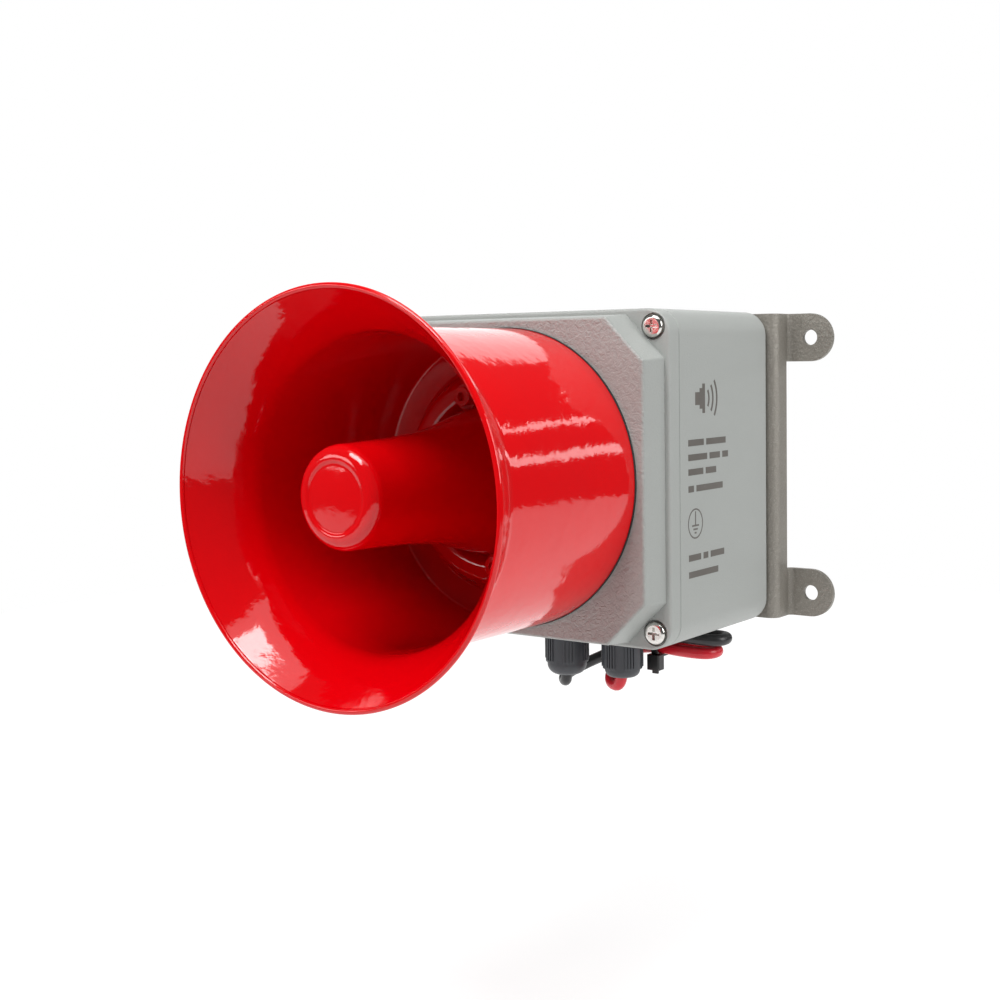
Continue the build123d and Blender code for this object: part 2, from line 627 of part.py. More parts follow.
def make_reflector_screws():
    """Four socket screws through the reflector's ears into the bosses of the horn's floor."""
    seat = Y_HORN - REFLECTOR_GAP - 2.2 - REFLECTOR_EAR_THICKNESS
    length = REFLECTOR_EAR_THICKNESS + 6.0
    return joined(socket_screw(x, z, seat, length) for x, z in around(EAR_COUNT, REFLECTOR_EAR_CIRCLE, REFLECTOR_EAR_TURN))


def make_throat_tube():
    """The pipe that carries the sound from the driver up into the reflector."""
    end = Y_HORN - THROAT_LENGTH
    pipe = rod_y(THROAT_RADIUS, end, Y_HORN)
    return pipe - rod_y(THROAT_RADIUS - THROAT_WALL, end, Y_HORN)


# ---- driver -----------------------------------------------------------------------------------------
DRIVER_Y = Y_LID_INSIDE + DRIVER_GASKET
CHAMBER_Y = DRIVER_Y + DRIVER_FRONT_DEPTH
TOP_PLATE_Y = CHAMBER_Y + TOP_PLATE
MAGNET_Y = TOP_PLATE_Y + MAGNET_DEPTH
BACK_PLATE_Y = MAGNET_Y + BACK_PLATE
COIL_OUTER = DOME_RADIUS + FORMER_WALL + COIL_WALL
RING_INNER = DOME_RADIUS + SURROUND_WIDTH


def ring_y(outer, inner, front, back):
    """A flat ring about the horn's axis."""
    return rod_y(outer, front, back) - rod_y(inner, front, back)


def make_driver_front():
    """The cast front of the driver: nozzle through the lid, dome chamber, four ears."""
    front = rod_y(DRIVER_RADIUS, DRIVER_Y, CHAMBER_Y)
    front += rod_y(NOZZLE_RADIUS, Y_HORN, DRIVER_Y)
    ear_y = Y_LID_INSIDE + DRIVER_BOSS_HEIGHT
    ear_range = (ear_y, ear_y + DRIVER_EAR_THICKNESS)
    reach = (-DRIVER_EAR_CIRCLE, DRIVER_EAR_CIRCLE)
    half_ear = (-DRIVER_EAR_RADIUS, DRIVER_EAR_RADIUS)
    front += block(reach, ear_range, half_ear) + block(half_ear, ear_range, reach)
    for x, z in around(EAR_COUNT, DRIVER_EAR_CIRCLE):
        front += rod_y(DRIVER_EAR_RADIUS, ear_y, ear_y + DRIVER_EAR_THICKNESS, x, z)
        front -= rod_y(M4_RADIUS + SCREW_CLEARANCE, ear_y, ear_y + DRIVER_EAR_THICKNESS, x, z)
    chamber = DOME_HEIGHT + DOME_SHEET + 2 * DIAPHRAGM_TRAVEL
    front -= rod_y(DOME_RADIUS + 1.0, CHAMBER_Y - chamber, CHAMBER_Y)
    front -= rod_y(RING_INNER, CHAMBER_Y - 2.0, CHAMBER_Y)
    return front - rod_y(THROAT_RADIUS - THROAT_WALL, Y_HORN, CHAMBER_Y)


def make_driver_gasket():
    """The flat ring that seals the driver to the lid."""
    return ring_y(DRIVER_RADIUS - 0.5, NOZZLE_RADIUS + 1.0, Y_LID_INSIDE, DRIVER_Y)


def make_dome():
    """The thin metal dome that moves the air."""
    flat = CHAMBER_Y - DOME_SHEET
    crown = flat - DOME_HEIGHT
    outer_arc = ThreePointArc(
        (0, crown), (DOME_RADIUS * 0.55, flat - DOME_HEIGHT * 0.72), (DOME_RADIUS, flat))
    inner_arc = ThreePointArc(
        (0, crown + DOME_SHEET), (DOME_RADIUS * 0.55, flat - DOME_HEIGHT * 0.72 + DOME_SHEET),
        (DOME_RADIUS, flat + DOME_SHEET))
    edges = [
        outer_arc, inner_arc, Line((0, crown), (0, crown + DOME_SHEET)),
        Line((DOME_RADIUS, flat), (DOME_RADIUS, flat + DOME_SHEET))]
    return turned(make_face(edges))


def make_surround():
    """The soft half-roll ring between the dome and the clamped edge."""
    inner = DOME_RADIUS + FORMER_WALL + SURROUND_GAP
    top = CHAMBER_Y - SURROUND_SHEET
    ring = ring_y(RING_INNER, inner, top, CHAMBER_Y)
    return ring + ring_y(RING_INNER - 0.8, inner + 0.8, top - 0.8, top)


def make_coil_former():
    """The card tube that carries the winding, fixed under the dome's edge."""
    return ring_y(DOME_RADIUS + FORMER_WALL, DOME_RADIUS, CHAMBER_Y - DOME_SHEET, CHAMBER_Y + FORMER_LENGTH)


def make_coil():
    """The copper winding in the magnet's gap."""
    inner = DOME_RADIUS + FORMER_WALL
    start = CHAMBER_Y + (FORMER_LENGTH - COIL_LENGTH) / 2
    return ring_y(inner + COIL_WALL, inner, start, start + COIL_LENGTH)


def make_top_plate():
    """The steel ring in front of the magnet."""
    return ring_y(DRIVER_RADIUS - 1.0, COIL_OUTER + MAGNET_GAP, CHAMBER_Y, TOP_PLATE_Y)


def make_magnet():
    """The ferrite ring."""
    return ring_y(DRIVER_RADIUS - 2.0, MAGNET_INNER_RADIUS, TOP_PLATE_Y, MAGNET_Y)


def make_back_plate():
    """The steel back plate with its pole, bored through."""
    pole = DOME_RADIUS - MAGNET_GAP
    plate = rod_y(DRIVER_RADIUS - 1.0, MAGNET_Y, BACK_PLATE_Y)
    plate += rod_y(pole, CHAMBER_Y + DIAPHRAGM_TRAVEL * 2, MAGNET_Y)
    return plate - rod_y(5.0, CHAMBER_Y, BACK_PLATE_Y)


def make_driver_cover():
    """The plastic cup over the magnet."""
    inner = DRIVER_RADIUS + 0.1
    start = Y_LID_INSIDE + DRIVER_BOSS_HEIGHT + DRIVER_EAR_THICKNESS + 0.2
    end = BACK_PLATE_Y + DRIVER_COVER_GAP
    cup = rod_y(inner + DRIVER_COVER_WALL, start, end + DRIVER_COVER_WALL)
    cup = fillet(cup.edges().filter_by(GeomType.CIRCLE).sort_by(lambda e: -e.center().Y)[0], 2.0)
    cup -= rod_y(inner, start, end)
    for x in (-DRIVER_WIRE_X, DRIVER_WIRE_X):
        cup -= rod_y(WIRE_RADIUS + 0.3, end, end + DRIVER_COVER_WALL, x, DRIVER_WIRE_Z)
    return cup


def make_driver_screws():
    """Four screws through the driver's ears into the lid."""
    seat = Y_LID_INSIDE + DRIVER_BOSS_HEIGHT + DRIVER_EAR_THICKNESS
    return joined(
        pan_screw(x, z, seat, DRIVER_EAR_THICKNESS + 4.5, M4_RADIUS, M4_HEAD_RADIUS - 0.3,
                  M4_HEAD_HEIGHT, -1)
        for x, z in around(EAR_COUNT, DRIVER_EAR_CIRCLE))


# ---- circuit board ----------------------------------------------------------------------------------
def make_board():
    """The circuit board on the rear casting's four bosses."""
    board = slab(RectangleRounded(BOARD_WIDTH, BOARD_HEIGHT, 3), BOARD_FRONT, BOARD_Y)
    for sign_x, sign_z in CORNERS:
        x, z = sign_x * BOARD_SCREW_X, sign_z * BOARD_SCREW_Z
        board -= rod_y(M3_RADIUS + SCREW_CLEARANCE, BOARD_FRONT, BOARD_Y, x, z)
    return board


def make_board_screws():
    """Four small screws that hold the board."""
    places = [(sign_x * BOARD_SCREW_X, sign_z * BOARD_SCREW_Z) for sign_x, sign_z in CORNERS]
    length = BOARD_THICKNESS + BOARD_GAP - 4
    return joined(
        pan_screw(x, z, BOARD_FRONT, length, M3_RADIUS, M3_HEAD_RADIUS, M3_HEAD_HEIGHT, 1)
        for x, z in places)


def core_block(half_x, depth, half_z, base=0.0):
    """A box about the transformer's middle, standing at base above the board."""
    front = BOARD_FRONT - base - depth
    x_range = (CORE_X - half_x, CORE_X + half_x)
    return block(x_range, (front, BOARD_FRONT - base), (CORE_Z - half_z, CORE_Z + half_z))


def make_core():
    """The transformer's laminated core: three legs between two yokes."""
    yoke = CORE_LEG / 2
    core = core_block(CORE_WIDTH / 2, CORE_DEPTH, CORE_STACK / 2)
    window_depth = CORE_DEPTH - 2 * yoke
    window = core_block(CORE_WIDTH / 2 - yoke, window_depth, CORE_STACK, yoke)
    return core - (window - core_block(CORE_LEG / 2, window_depth, CORE_STACK, yoke))


def winding_sizes():
    """Half width and half height of the winding, clear of the core's outer legs."""
    half_x = CORE_WIDTH / 2 - CORE_LEG / 2 - WINDING_GAP
    half_z = CORE_STACK / 2 + half_x - CORE_LEG / 2
    return half_x, half_z


def make_bobbin():
    """The plastic bobbin round the core's middle leg."""
    half_x, half_z = winding_sizes()
    yoke = CORE_LEG / 2
    depth = CORE_DEPTH - 2 * yoke
    hole = core_block(CORE_LEG / 2, depth, CORE_STACK / 2, yoke)
    bobbin = core_block(CORE_LEG / 2 + BOBBIN_WALL, depth, CORE_STACK / 2 + BOBBIN_WALL, yoke)
    for base in (yoke, yoke + depth - BOBBIN_WALL):
        bobbin += core_block(half_x, BOBBIN_WALL, half_z, base)
    return bobbin - hole


def make_winding():
    """The transformer's wound wire under its tape."""
    half_x, half_z = winding_sizes()
    yoke = CORE_LEG / 2
    base = yoke + BOBBIN_WALL
    depth = CORE_DEPTH - 2 * base
    outer = core_block(half_x - 0.4, depth, half_z - 0.4, base)
    outer = fillet(outer.edges().filter_by(Axis.Y), 1.5)
    inner = core_block(CORE_LEG / 2 + BOBBIN_WALL, depth, CORE_STACK / 2 + BOBBIN_WALL, base)
    return outer - inner


def terminal_block(x, z):
    """A screw terminal block with one wire hole and one screw well for each way."""
    width = TERMINAL_WAYS * TERMINAL_PITCH
    low, high = z - TERMINAL_HEIGHT / 2, z + TERMINAL_HEIGHT / 2
    front = BOARD_FRONT - TERMINAL_DEPTH
    body = block((x - width / 2, x + width / 2), (front, BOARD_FRONT), (low, high))
    body = chamfer(body.edges().filter_by(Axis.X).sort_by(Axis.Y)[0:2], 1.2)
    for way in terminal_places(x):
        body -= rod_z(1.3, low, low + 5.0, way, BOARD_FRONT - 3.2)
        body -= rod_y(1.7, front, front + 3.6, way, z)
    return body


def terminal_places(x):
    """The middle of each way."""
    return [x + (number - (TERMINAL_WAYS - 1) / 2) * TERMINAL_PITCH for number in range(TERMINAL_WAYS)]


def make_terminal_screws():
    """The clamp screws of all the terminal blocks."""
    screws = []
    front = BOARD_FRONT - TERMINAL_DEPTH
    for x, z in TERMINALS:
        for way in terminal_places(x):
            screw = rod_y(1.5, front + 1.4, front + 3.6, way, z)
            slot = block((way - 1.5, way + 1.5), (front + 1.4, front + 2.2), (z - 0.3, z + 0.3))
            screws.append(screw - slot)
    return joined(screws)


def make_capacitors():
    """Two upright electrolytic capacitors."""
    cans = []
    for x, z in ((8.0, 28.0), (20.5, 2.0)):
        can = rod_y(CAPACITOR_RADIUS, BOARD_FRONT - CAPACITOR_LENGTH, BOARD_FRONT, x, z)
        can = fillet(can.edges().filter_by(GeomType.CIRCLE), 0.7)
        groove = ring_at(CAPACITOR_RADIUS + 1, CAPACITOR_RADIUS - 0.3, BOARD_FRONT - 2.6, BOARD_FRONT - 1.8, x, z)
        cans.append(can - groove)
    return joined(cans)


def ring_at(outer, inner, front, back, x, z):
    """A flat ring along Y at a place."""
    return rod_y(outer, front, back, x, z) - rod_y(inner, front, back, x, z)


CHIP_X = -12.0
CHIP_Z = -8.0


def make_chip():
    """The power amplifier chip, upright against its heatsink."""
    x_range = (CHIP_X - CHIP_WIDTH / 2, CHIP_X + CHIP_WIDTH / 2)
    y_range = (BOARD_FRONT - CHIP_LENGTH - 3, BOARD_FRONT - 3)
    body = block(x_range, y_range, (CHIP_Z - CHIP_THICKNESS, CHIP_Z))
    for number in range(5):
        x = CHIP_X + (number - 2) * 1.7
        z_range = (CHIP_Z - CHIP_THICKNESS / 2 - 0.3, CHIP_Z - CHIP_THICKNESS / 2 + 0.3)
        body += block((x - 0.35, x + 0.35), (BOARD_FRONT - 3, BOARD_FRONT), z_range)
    return body


def make_heatsink():
    """A finned aluminium heatsink behind the chip."""
    half = HEATSINK_WIDTH / 2
    y_range = (BOARD_FRONT - HEATSINK_LENGTH, BOARD_FRONT)
    sink = block((CHIP_X - half, CHIP_X + half), y_range, (CHIP_Z, CHIP_Z + 2.0))
    count = 5
    for number in range(count):
        x = CHIP_X - half + HEATSINK_FIN / 2 + number * (HEATSINK_WIDTH - HEATSINK_FIN) / (count - 1)
        sink += block((x - HEATSINK_FIN / 2, x + HEATSINK_FIN / 2), y_range, (CHIP_Z + 2.0, CHIP_Z + 9.0))
    return sink


FUSE_X = 14.0
FUSE_Z = -16.0
FUSE_Y = BOARD_FRONT - 6.0


def make_fuse():
    """The glass fuse with its two metal ends."""
    half = FUSE_LENGTH / 2
    fuse = rod_x(FUSE_RADIUS - 0.3, FUSE_X - half, FUSE_X + half, FUSE_Y, FUSE_Z)
    for side in (-1, 1):
        ends = sorted((FUSE_X + side * half, FUSE_X + side * (half - 5)))
        fuse += rod_x(FUSE_RADIUS, ends[0], ends[1], FUSE_Y, FUSE_Z)
    return fuse


def make_fuse_clips():
    """Two spring clips that hold the fuse."""
    clips = []
    for side in (-1, 1):
        x = FUSE_X + side * (FUSE_LENGTH / 2 - 2.5)
        reach = FUSE_RADIUS + 0.6
        clip = block((x - 1.8, x + 1.8), (FUSE_Y - 1.0, BOARD_FRONT), (FUSE_Z - reach, FUSE_Z + reach))
        clip -= rod_x(FUSE_RADIUS, x - 2, x + 2, FUSE_Y, FUSE_Z)
        clip -= block((x - 2, x + 2), (FUSE_Y - 2, FUSE_Y), (FUSE_Z - FUSE_RADIUS, FUSE_Z + FUSE_RADIUS))
        clip -= block((x - 2, x + 2), (FUSE_Y + 3.2, BOARD_FRONT - 1), (FUSE_Z - FUSE_RADIUS, FUSE_Z + FUSE_RADIUS))
        clips.append(clip)
    return joined(clips)


# ---- earth connection ---------------------------------------------------------------------------------
EARTH_SEAT = Y_REAR_INSIDE - 2.0
LUG_THICKNESS = 0.8


def make_earth_stud():
    """A threaded stud in the rear casting."""
    return rod_y(M4_RADIUS, EARTH_SEAT - EARTH_STUD_LENGTH, Y_REAR_INSIDE + 1.5, EARTH_X, EARTH_Z)


def make_earth_lug():
    """The ring lug of the earth wire."""
    lug = ring_at(4.0, M4_RADIUS, EARTH_SEAT - LUG_THICKNESS, EARTH_SEAT, EARTH_X, EARTH_Z)
    tongue = block((EARTH_X - 1.6, EARTH_X + 1.6), (EARTH_SEAT - LUG_THICKNESS, EARTH_SEAT),
                   (EARTH_Z - 11.0, EARTH_Z - 3.0))
    barrel = rod_z(1.5, EARTH_Z - 16.0, EARTH_Z - 10.5, EARTH_X, EARTH_SEAT - 1.5)
    return lug + tongue + barrel


def make_earth_nut():
    """Washer and hexagon nut on the stud."""
    seat = EARTH_SEAT - LUG_THICKNESS
    nut = hexagon_y(NUT_ACROSS_FLATS, seat - WASHER_THICKNESS - NUT_THICKNESS, seat - WASHER_THICKNESS,
                    EARTH_X, EARTH_Z)
    nut += rod_y(M4_HEAD_RADIUS, seat - WASHER_THICKNESS, seat, EARTH_X, EARTH_Z)
    return nut - rod_y(M4_RADIUS, seat - 10, seat, EARTH_X, EARTH_Z)


# ---- cable glands ---------------------------------------------------------------------------------------
HEX_TOP = BOTTOM - GLAND_WASHER
HEX_BOTTOM = HEX_TOP - GLAND_HEX_HEIGHT
CAP_TOP = HEX_BOTTOM - CAP_CLEARANCE
SEAL_TOP = SEAL_END + GLAND_SEAL_LENGTH


def make_gland_body(x, gland):
    """The fixed part of a gland: thread through the wall, hexagon, nose inside the cap nut."""
    thread = gland["thread"]
    body = hexagon_z(gland["hex_flats"], HEX_BOTTOM, HEX_TOP, x, GLAND_Y)
    body += rod_z(thread, HEX_TOP, BOTTOM + WALL + GLAND_THREAD_INSIDE, x, GLAND_Y)
    body += rod_z(cap_bore(gland) - CAP_RUNNING, SEAL_END + 1.5, HEX_BOTTOM, x, GLAND_Y)
    body -= rod_z(seal_radius(gland), SEAL_END, SEAL_TOP, x, GLAND_Y)
    return body - rod_z(LEAD_RADIUS + 0.4, SEAL_TOP, BOTTOM + WALL + GLAND_THREAD_INSIDE, x, GLAND_Y)


def cap_bore(gland):
    """The bore of the cap nut, which runs on the gland's nose."""
    return gland["cap"] - CAP_RIB_DEPTH - CAP_WALL


def seal_radius(gland):
    """The outside of the rubber insert."""
    return cap_bore(gland) - 1.4


def make_gland_washer(x, gland):
    """The sealing ring between the hexagon and the box."""
    outer = gland["hex_flats"] / 2
    return rod_z(outer, HEX_TOP, BOTTOM, x, GLAND_Y) - rod_z(gland["thread"], HEX_TOP, BOTTOM, x, GLAND_Y)


def make_locknut(x, gland):
    """The nut that holds the gland from inside the box."""
    low = BOTTOM + WALL
    nut = hexagon_z(gland["hex_flats"] + 1.0, low, low + LOCKNUT_THICKNESS, x, GLAND_Y)
    return nut - rod_z(gland["thread"], low, low + LOCKNUT_THICKNESS, x, GLAND_Y)


def make_gland_seal(x, gland):
    """The rubber insert that grips the lead."""
    ring = rod_z(seal_radius(gland), SEAL_END, SEAL_TOP, x, GLAND_Y)
    return ring - rod_z(LEAD_RADIUS, SEAL_END, SEAL_TOP, x, GLAND_Y)


def make_cap(x, gland, turn):
    """The ribbed and domed cap nut, which turns on the gland."""
    core = gland["cap"] - CAP_RIB_DEPTH
    ribbed_end = CAP_TOP - gland["ribbed"]
    end = ribbed_end - gland["dome_length"]
    cap = rod_z(core, ribbed_end, CAP_TOP, x, GLAND_Y)
    dome = rod_z(gland["dome"], end, ribbed_end, x, GLAND_Y)
    low_rim = dome.edges().filter_by(GeomType.CIRCLE).sort_by(Axis.Z)[0]
    cap += fillet(low_rim, gland["dome_length"] * 0.8)
    cap -= rod_z(cap_bore(gland), SEAL_END - 0.5, CAP_TOP, x, GLAND_Y)
    cap -= rod_z(CAP_MOUTH_RADIUS, end, CAP_TOP, x, GLAND_Y)
    low, high = ribbed_end + 0.8, CAP_TOP - 0.4
    for group in range(CAP_RIB_GROUPS):
        for number in range(CAP_RIBS):
            angle = turn + group * 360 / CAP_RIB_GROUPS + (number - (CAP_RIBS - 1) / 2) * 8.6
            rib = Pos(core, 0, (low + high) / 2) * Box(2 * CAP_RIB_DEPTH, CAP_RIB_WIDTH, high - low)
            cap += Pos(x, GLAND_Y, 0) * Rot(0, 0, angle) * rib
    return cap


def make_lead_inside(x):
    """The lead from the gland's seal up into the box."""
    return rod_z(LEAD_RADIUS, LEAD_START, BOTTOM + WALL + GLAND_THREAD_INSIDE + 3.0, x, GLAND_Y)


# ---- leads, their bare ends and the tie --------------------------------------------------------------------
def lead_end(route, cores):
    """The stripped end of a lead: insulated cores with bare tips, in line with the last run."""
    last = Vector(*route[-1])
    along = (last - Vector(*route[-2])).normalized()
    side = along.cross(Vector(0, 0, 1)).normalized()
    up = side.cross(along)
    solids = []
    for number in range(cores):
        angle = math.radians(90 + 360 / cores * number)
        shift = (side * math.cos(angle) + up * math.sin(angle)) * (CORE_RADIUS * 1.45)
        start = Plane(origin=last + shift, z_dir=along)
        core = extrude(start * Circle(CORE_RADIUS), amount=CORE_LENGTH)
        tip = extrude(start * Circle(CORE_TIP_RADIUS), amount=CORE_LENGTH + CORE_TIP_LENGTH)
        solids.append(core + tip)
    return joined(solids)


def make_tie():
    """The cable tie: a strap round four strands, with its square head below."""
    outer_y = TIE_INNER_Y + 2 * TIE_THICKNESS
    outer_z = TIE_INNER_Z + 2 * TIE_THICKNESS
    outline = RectangleRounded(outer_y, outer_z, 3.2) - RectangleRounded(TIE_INNER_Y, TIE_INNER_Z, 2.2)
    strap = extrude(Plane.YZ.offset(TIE_X - TIE_WIDTH / 2) * Pos(TIE_Y, TIE_Z) * outline, amount=TIE_WIDTH)
    head_x, head_y, head_z = TIE_HEAD
    top = TIE_Z - TIE_INNER_Z / 2 + TIE_THICKNESS * 0.4
    front = TIE_Y - TIE_INNER_Y / 2 + 0.2
    head = block((TIE_X - head_x / 2, TIE_X + head_x / 2), (front - head_y / 2, front + head_y / 2),
                 (top - head_z, top))
    head = fillet(head.edges().filter_by(Axis.Z), 0.7)
    tail = block((TIE_X - TIE_WIDTH / 2, TIE_X + TIE_WIDTH / 2), (front - 0.5, front + 0.5),
                 (top - head_z - 1.6, top - head_z + 1))
    slot = block((TIE_X - 1.5, TIE_X + 1.5), (front + 1.0, front + 1.6), (top - head_z, top - head_z + 2))
    return strap + (head - slot) + tail


# ---- wiring inside the box -----------------------------------------------------------------------------------
LEAD_TOP = BOTTOM + WALL + GLAND_THREAD_INSIDE + 3.0
ENTRY_Y = BOARD_FRONT - 3.2
ENTRY_Z = TERMINAL_Z - TERMINAL_HEIGHT / 2 + 4.0


def inside_wires(x, targets):
    """Thin wires from the top of a lead to the holes of a terminal block."""
    wires = []
    count = len(targets)
    for number, target in enumerate(targets):
        start_x = x + (number - (count - 1) / 2) * 1.6
        middle = ((start_x + target) / 2, (GLAND_Y + ENTRY_Y) / 2, ENTRY_Z - 7.5)
        wires.append(tube(
            [(start_x, GLAND_Y, LEAD_TOP), (start_x, GLAND_Y, LEAD_TOP + 2.5), middle,
             (target, ENTRY_Y, ENTRY_Z - 6.5), (target, ENTRY_Y, ENTRY_Z)], WIRE_RADIUS))
    return joined(wires)


def make_earth_wire():
    """The earth core from the supply lead to the lug's barrel."""
    start = (-GLAND_X, GLAND_Y - 1.4, LEAD_TOP)
    barrel_z = EARTH_Z - 16.0
    barrel_y = EARTH_SEAT - 1.5
    return tube(
        [start, (start[0], start[1], LEAD_TOP + 3.0), (-22.0, -46.0, LEAD_TOP + 4.5),
         (-34.0, -38.0, LEAD_TOP + 1.0), (-44.5, -27.0, LEAD_TOP - 0.5),
         (EARTH_X, barrel_y, barrel_z - 6.0), (EARTH_X, barrel_y, barrel_z)], WIRE_RADIUS)


def make_driver_wires():
    """Two wires from the output terminals into the back of the driver's cover."""
    cover_back = BACK_PLATE_Y + DRIVER_COVER_GAP
    entry_z = OUTPUT_Z - TERMINAL_HEIGHT / 2 + 4.0
    wires = []
    for x, end_x in zip(terminal_places(OUTPUT_X), (DRIVER_WIRE_X, -DRIVER_WIRE_X)):
        wires.append(tube(
            [(x, ENTRY_Y, entry_z), (x, ENTRY_Y, entry_z - 6.5), (x - 3.0, -42.0, entry_z - 12.0),
             (x - 12.0, -54.0, DRIVER_WIRE_Z - 10.0), (end_x, -57.5, DRIVER_WIRE_Z - 5.5),
             (end_x, cover_back + 7.0, DRIVER_WIRE_Z), (end_x, cover_back, DRIVER_WIRE_Z)], WIRE_RADIUS))
    return joined(wires)


def build():
    """Every sub-part by name."""
    parts["enclosure_body"] = make_body()
    parts["enclosure_lid"] = make_lid()
    parts["lid_gasket"] = make_lid_gasket()
    parts["lid_screws"] = make_lid_screws()
    parts["wall_bracket"] = make_bracket()
    parts["bracket_screws"] = make_bracket_screws()
    parts["horn_bell"] = make_bell()
    parts["horn_gasket"] = make_horn_gasket()
    parts["m4_washers"] = make_washers()
    parts["horn_screws"] = make_horn_screws()
    parts["horn_reflector"] = make_reflector()
    parts["reflector_screws"] = make_reflector_screws()
    parts["throat_tube"] = make_throat_tube()
    parts["driver_front"] = make_driver_front()
    parts["driver_gasket"] = make_driver_gasket()
    parts["diaphragm_dome"] = make_dome()
    parts["diaphragm_surround"] = make_surround()
    parts["voice_coil_former"] = make_coil_former()
    parts["voice_coil"] = make_coil()
    parts["driver_top_plate"] = make_top_plate()
    parts["driver_magnet"] = make_magnet()
    parts["driver_back_plate"] = make_back_plate()
    parts["driver_cover"] = make_driver_cover()
    parts["driver_screws"] = make_driver_screws()
    parts["circuit_board"] = make_board()
    parts["board_screws"] = make_board_screws()
    parts["transformer_core"] = make_core()
    parts["transformer_bobbin"] = make_bobbin()
    parts["transformer_winding"] = make_winding()
    parts["terminal_blocks"] = joined(terminal_block(*place) for place in TERMINALS)
    parts["terminal_screws"] = make_terminal_screws()
    parts["filter_capacitors"] = make_capacitors()
    parts["amplifier_chip"] = make_chip()
    parts["chip_heatsink"] = make_heatsink()
    parts["mains_fuse"] = make_fuse()
    parts["fuse_clips"] = make_fuse_clips()
    parts["earth_stud"] = make_earth_stud()
    parts["earth_lug"] = make_earth_lug()
    parts["earth_nut"] = make_earth_nut()
    for side, x, gland, turn in (("left", -GLAND_X, LEFT_GLAND, 8.0), ("right", GLAND_X, RIGHT_GLAND, 24.0)):
        parts[side + "_gland_body"] = make_gland_body(x, gland)
        parts[side + "_gland_washer"] = make_gland_washer(x, gland)
        parts[side + "_gland_locknut"] = make_locknut(x, gland)
        parts[side + "_gland_seal"] = make_gland_seal(x, gland)
        parts[side + "_gland_cap"] = make_cap(x, gland, turn)
    parts["black_lead_inside"] = make_lead_inside(-GLAND_X)
    parts["red_lead_inside"] = make_lead_inside(GLAND_X)
    parts["mains_wires"] = inside_wires(-GLAND_X, terminal_places(MAINS_X))
    parts["signal_wires"] = inside_wires(GLAND_X, terminal_places(SIGNAL_X))
    parts["earth_wire"] = make_earth_wire()
    parts["driver_wires"] = make_driver_wires()
    parts["black_lead"] = tube(BLACK_ROUTE, LEAD_RADIUS)
    parts["red_lead"] = tube(RED_ROUTE, LEAD_RADIUS)
    parts["black_lead_cores"] = lead_end(BLACK_ROUTE, 3)
    parts["red_lead_cores"] = lead_end(RED_ROUTE, 2)
    parts["cable_tie"] = make_tie()


def report_lead(name, route):
    """Print a lead's bends, and its volume against its section times its length."""
    radii = bend_radii(route)
    length = FilletPolyline(*route, radius=radii).length
    ideal = math.pi * LEAD_RADIUS**2 * length
    print(name, "length %.1f" % length, "radii", ["%.1f" % radius for radius in radii])
    print(name, "volume %.1f" % parts[name].volume, "section x length %.1f" % ideal)


build()
os.makedirs("parts", exist_ok=True)
for name, shape in parts.items():
    export_step(shape, os.path.join("parts", name + ".step"))
report_lead("black_lead", BLACK_ROUTE)
report_lead("red_lead", RED_ROUTE)
print(len(parts), "sub-parts")
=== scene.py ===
# %% [markdown]
# # An alarm siren, dressed for the camera
# The siren is a red re-entrant horn on a die-cast box, held by a bent steel bracket, with two leads
# that come out through plastic glands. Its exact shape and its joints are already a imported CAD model.
# This script loads that model and never moves it. It gives each piece its finish, and makes anew the
# pieces whose curves a camera looks at closely.

# %% Load the frame
import math

import bmesh
import bpy
from mathutils import Matrix, Vector


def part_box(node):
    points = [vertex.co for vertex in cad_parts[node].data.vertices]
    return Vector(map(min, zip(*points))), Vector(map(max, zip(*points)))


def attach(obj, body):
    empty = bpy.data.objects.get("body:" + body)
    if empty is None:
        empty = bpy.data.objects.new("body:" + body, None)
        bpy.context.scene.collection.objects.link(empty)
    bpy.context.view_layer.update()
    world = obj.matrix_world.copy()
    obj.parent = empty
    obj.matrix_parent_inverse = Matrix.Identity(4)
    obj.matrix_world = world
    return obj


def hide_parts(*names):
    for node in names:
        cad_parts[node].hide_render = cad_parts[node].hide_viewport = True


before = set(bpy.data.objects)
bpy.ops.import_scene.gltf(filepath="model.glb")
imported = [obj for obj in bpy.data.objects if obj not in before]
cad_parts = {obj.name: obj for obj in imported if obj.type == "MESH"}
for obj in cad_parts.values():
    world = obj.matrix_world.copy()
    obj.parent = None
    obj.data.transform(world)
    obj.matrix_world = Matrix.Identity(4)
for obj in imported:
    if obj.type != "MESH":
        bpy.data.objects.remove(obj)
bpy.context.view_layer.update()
MM = 0.001

# %% [markdown]
# The camera stands in front of the siren, to its right and a little above it. It is turned by three
# plain angles, and a longer lens keeps the box's sides almost parallel. A small shift frames the horn
# without tilting the camera, so upright edges stay upright.

# %% Place the camera
CAMERA_AT = (0.3146, -0.5379, 0.0419)
CAMERA_AZIMUTH = math.radians(35.44)
CAMERA_DOWN = math.radians(2.86)
CAMERA_ROLL = math.radians(-0.71)
CAMERA_LENS = 53.36
CAMERA_SENSOR = 36.0
CAMERA_SHIFT = (-0.0202, -0.0642)

camera_data = bpy.data.cameras.new("camera")
camera_data.lens = CAMERA_LENS
camera_data.sensor_width = CAMERA_SENSOR
camera_data.shift_x, camera_data.shift_y = CAMERA_SHIFT
camera = bpy.data.objects.new("camera", camera_data)
bpy.context.collection.objects.link(camera)
turn = Matrix.Rotation(CAMERA_AZIMUTH, 4, "Z") @ Matrix.Rotation(math.pi / 2 - CAMERA_DOWN, 4, "X")
camera.matrix_world = Matrix.Translation(CAMERA_AT) @ turn @ Matrix.Rotation(CAMERA_ROLL, 4, "Z")
bpy.context.scene.camera = camera
print("camera at", CAMERA_AT)

